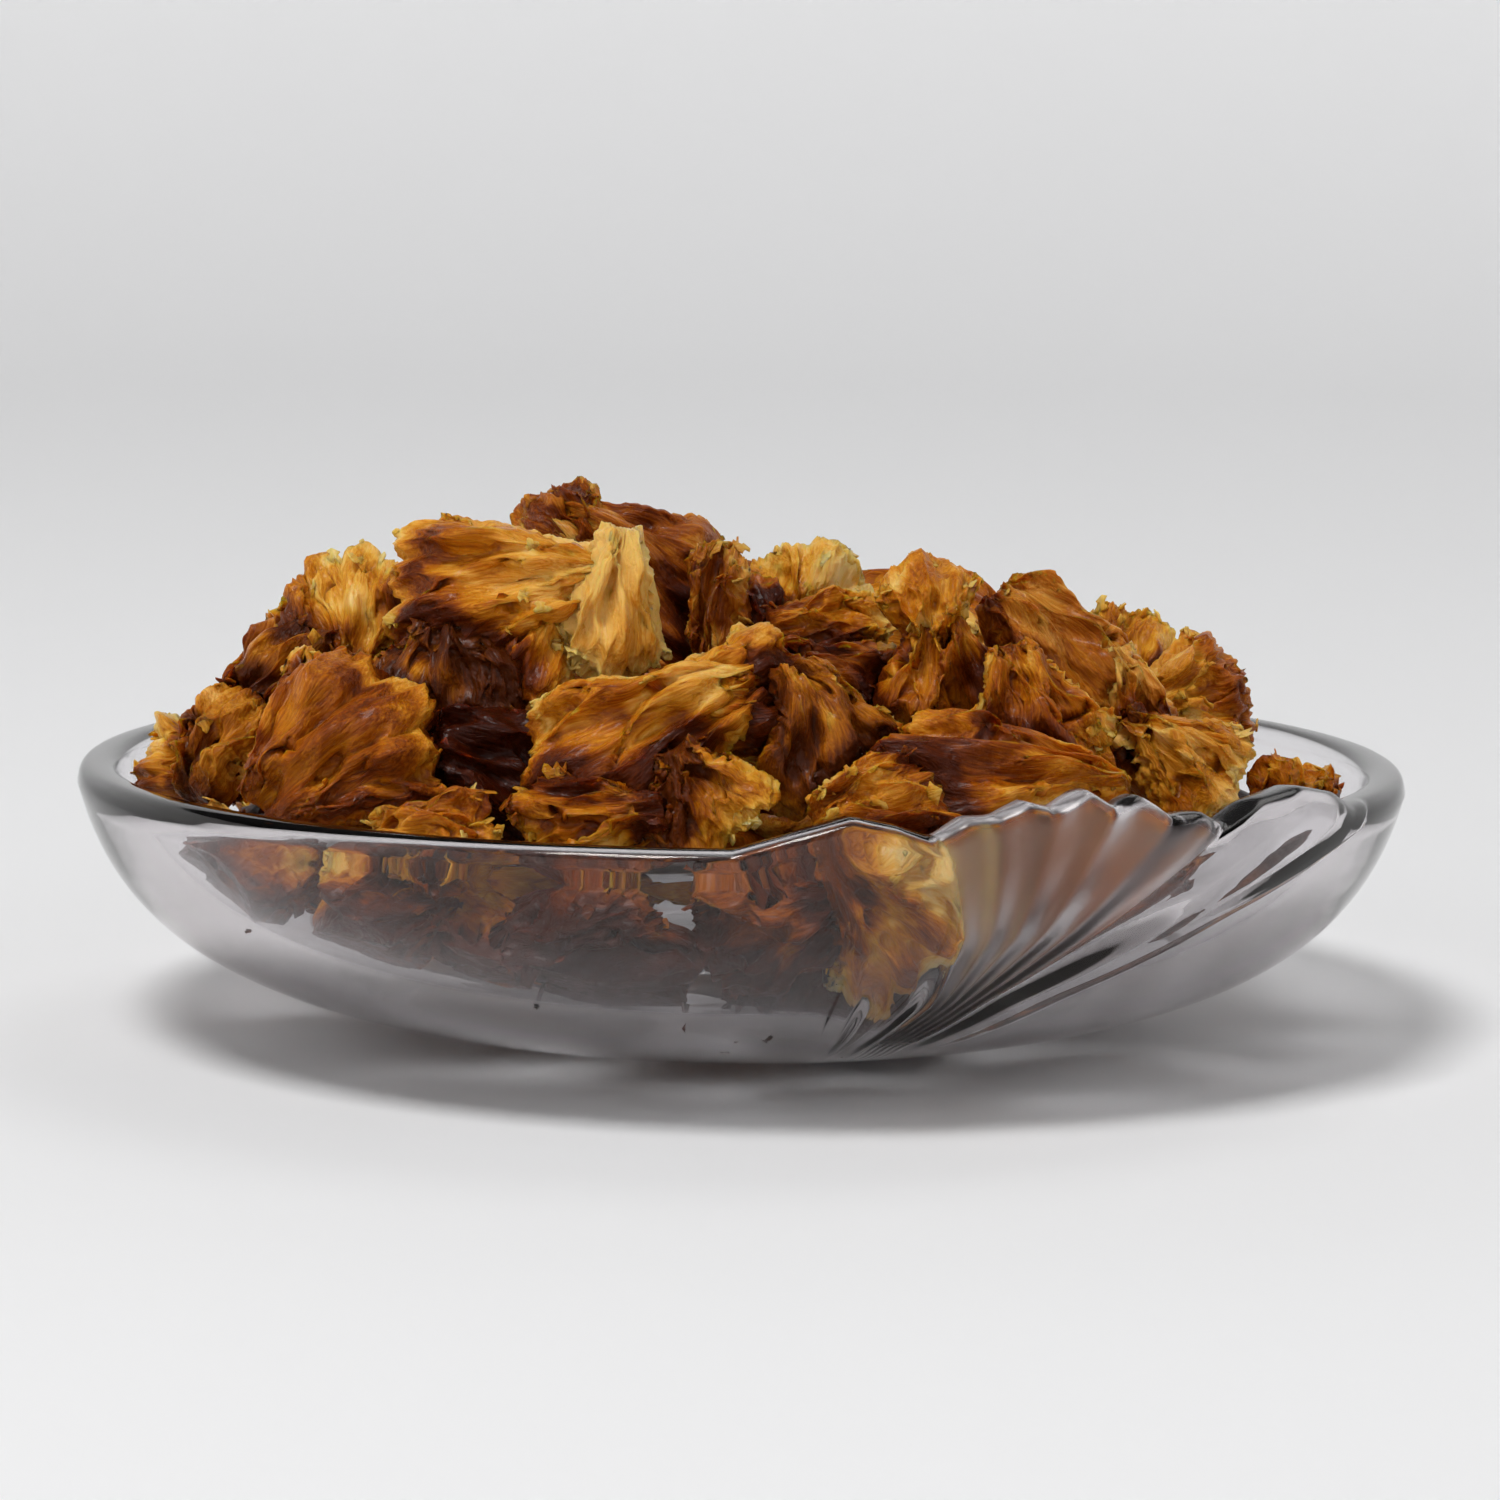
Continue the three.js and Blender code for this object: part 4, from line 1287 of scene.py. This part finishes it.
    def build(self, material: bpy.types.Material) -> bpy.types.Object:
        """Turns the outline round the axis and presses the shells into it.

        Args:
            material: The glass.

        Returns:
            The finished dish.
        """
        outline, outside = self.profile()
        made = bmesh.new()
        rank = made.verts.layers.int.new("rank")
        etched = made.verts.layers.float.new("etched")
        row = [made.verts.new((r, 0.0, z)) for r, z in outline]
        for k, vertex in enumerate(row):
            vertex[rank] = k
        spin_round(made, row, self.turns)
        points = np.array([vertex.co for vertex in made.verts])
        ranks = np.array([vertex[rank] for vertex in made.verts])
        radius = np.hypot(points[:, 0], points[:, 1])
        height = points[:, 2]
        pitch = 360.0 / self.shells
        start = self.rim_rise[0][0]
        turn = np.degrees(np.arctan2(points[:, 1], points[:, 0])) % 360.0
        shell = np.floor((turn - start) / pitch)
        angle = turn - shell * pitch
        share = eased(height, self.rise_from, CREST_HEIGHT)
        on_outside = ranks < outside
        relief = self.relief(angle, height) * np.where(on_outside, 1.0, self.inner_relief * share)
        radius += np.where(radius > FOOT_RADIUS, relief, 0.0)
        theta = np.radians(shell * pitch + self.swept(angle, height))
        rises = np.array(self.rim_rise)
        height = height + np.interp(angle, rises[:, 0], rises[:, 1]) * share
        frost = self.frost(angle, points[:, 2], on_outside)
        for vertex, r, t, z, value in zip(made.verts, radius, theta, height, frost):
            vertex.co = (r * math.sin(t) * MM, -r * math.cos(t) * MM, z * MM)
            vertex[etched] = value
        bmesh.ops.recalc_face_normals(made, faces=made.faces[:])
        dish = place_in_scene(made, "fine_glass_dish", material)
        stand_for(dish, "glass_dish")
        return dish


@dataclass(frozen=True)
class Studio:
    """The plain pale floor, the soft light and the camera at the photograph's view.

    Lengths are in metres. The focal length is in pixels of the photograph's frame.
    """

    distance: float = 0.7
    elevation: float = 7.39
    roll: float = 0.58
    focal_pixels: float = 5127.6
    photo_width: int = 1500
    target: tuple[float, float, float] = (0.00113, 0.0, 0.0373)
    sensor: float = 36.0
    floor_radius: float = 1.5
    wall_bend: float = 0.5
    wall_height: float = 1.3
    side_sky: float = 0.65
    top_sky: float = 1.35
    wall_glow: float = 0.3
    bend_steps: int = 16
    floor_steps: int = 96
    paper: tuple[float, float, float] = (0.88, 0.88, 0.885)
    sky_heights: tuple[float, float] = (0.45, 0.85)

    def build(self) -> None:
        """Sets up the floor, the lamps, the sky and the camera."""
        self._floor()
        self._sky()
        self._lamp("key_lamp", (-0.5, -0.8, 1.8), 25.0, 0.6)
        self._lamp("back_lamp", (0.5, 1.0, 1.7), 5.0, 0.9)
        self._camera()
        bpy.context.scene.view_settings.view_transform = "Standard"

    def _floor(self) -> None:
        """A wide pale floor that curves up into a low, faintly glowing wall all round."""
        made = bmesh.new()
        row = [made.verts.new((x * self.floor_radius, 0.0, 0.0)) for x in (0.0, 0.5, 1.0)]
        for k in range(1, self.bend_steps + 1):
            turn = math.pi / 2.0 * k / self.bend_steps
            reach = self.floor_radius + self.wall_bend * math.sin(turn)
            row.append(made.verts.new((reach, 0.0, self.wall_bend * (1.0 - math.cos(turn)))))
        row.append(made.verts.new((self.floor_radius + self.wall_bend, 0.0, self.wall_height)))
        spin_round(made, row, self.floor_steps)
        paper = bpy.data.materials.new("pale_floor")
        nodes = Nodes(paper)
        # The wall lights the dish softly, so looking for it as a lamp only costs time.
        paper.cycles.emission_sampling = "NONE"
        shader = nodes.tree.nodes["Principled BSDF"]
        shader.inputs["Base Color"].default_value = (*self.paper, 1.0)
        shader.inputs["Roughness"].default_value = 0.9
        shader.inputs["Emission Color"].default_value = (1.0, 1.0, 1.0, 1.0)
        glow = nodes.ranged(nodes.height(nodes.place()), (0.0, self.wall_bend), (0.0, self.wall_glow))
        nodes.feed(glow, shader.inputs["Emission Strength"])
        place_in_scene(made, "studio_floor", paper)

    def _sky(self) -> None:
        """A dim grey sky, a little brighter overhead; most of the light comes from the wall and the lamps."""
        world = bpy.data.worlds.new("studio_light")
        nodes = Nodes(world)
        height = nodes.height(nodes.place("Generated"))
        strength = nodes.ranged(height, self.sky_heights, (self.side_sky, self.top_sky), "SMOOTHSTEP")
        nodes.feed(strength, nodes.tree.nodes["Background"].inputs["Strength"])
        bpy.context.scene.world = world

    def _lamp(self, name: str, place: tuple[float, float, float], power: float, size: float) -> None:
        """A square soft lamp that faces the heap."""
        light = bpy.data.lights.new(name, "AREA")
        light.energy = power
        light.size = size
        lamp = bpy.data.objects.new(name, light)
        bpy.context.scene.collection.objects.link(lamp)
        lamp.location = place
        lamp.rotation_euler = (Vector((0, 0, 0.03)) - Vector(place)).to_track_quat("-Z", "Y").to_euler()

    def _camera(self) -> None:
        """The camera in front of the dish, a little above its rim."""
        tilt = math.radians(self.elevation)
        back = Vector((0.0, -math.cos(tilt), math.sin(tilt)))
        right = Vector((0.0, 0.0, 1.0)).cross(back).normalized()
        up = back.cross(right)
        data = bpy.data.cameras.new("photo_camera")
        data.sensor_width = self.sensor
        data.lens = self.focal_pixels * self.sensor / self.photo_width
        data.clip_start = 0.05
        camera = bpy.data.objects.new("photo_camera", data)
        bpy.context.scene.collection.objects.link(camera)
        turn = Matrix((right, up, back)).transposed().to_4x4()
        place = Vector(self.target) + back * self.distance
        roll = Matrix.Rotation(math.radians(self.roll), 4, "Z")
        camera.matrix_world = Matrix.Translation(place) @ turn @ roll
        bpy.context.scene.camera = camera


@dataclass
class PineappleHeap:
    """All the fruit in the dish."""

    pieces: list[FruitPiece] = field(default_factory=list)

    def __post_init__(self) -> None:
        """Lists the pieces in front and the arcs behind and below them."""
        self.pieces = [FruitPiece(name, finish, wedge, tuple(flaps)) for name, finish, wedge, *flaps in HEAP]
        for number, arc in enumerate(ARCS):
            self.pieces += arc.pieces(number)

    def build(self) -> int:
        """Builds every piece.

        Returns:
            The number of triangles in the heap.
        """
        solids = {name: Solid.of(cad) for name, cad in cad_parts.items()}
        materials = {slot: finish.material() for slot, finish in FINISHES.items()}
        total = 0
        for piece in self.pieces:
            made = piece.build(solids, materials)
            triangles = sum(len(face.vertices) - 2 for face in made.data.polygons)
            total += triangles
            log.info("%s: %d triangles", piece.name, triangles)
        return total


def main() -> None:
    """Builds the dish, the heap and the studio."""
    logging.basicConfig(level=logging.INFO, format="%(name)s: %(message)s")
    dish = GlassDish().build(GlassFinish().material())
    log.info("glass_dish: %d faces", len(dish.data.polygons))
    log.info("heap: %d triangles", PineappleHeap().build())
    Studio().build()


if __name__ == "__main__":
    main()
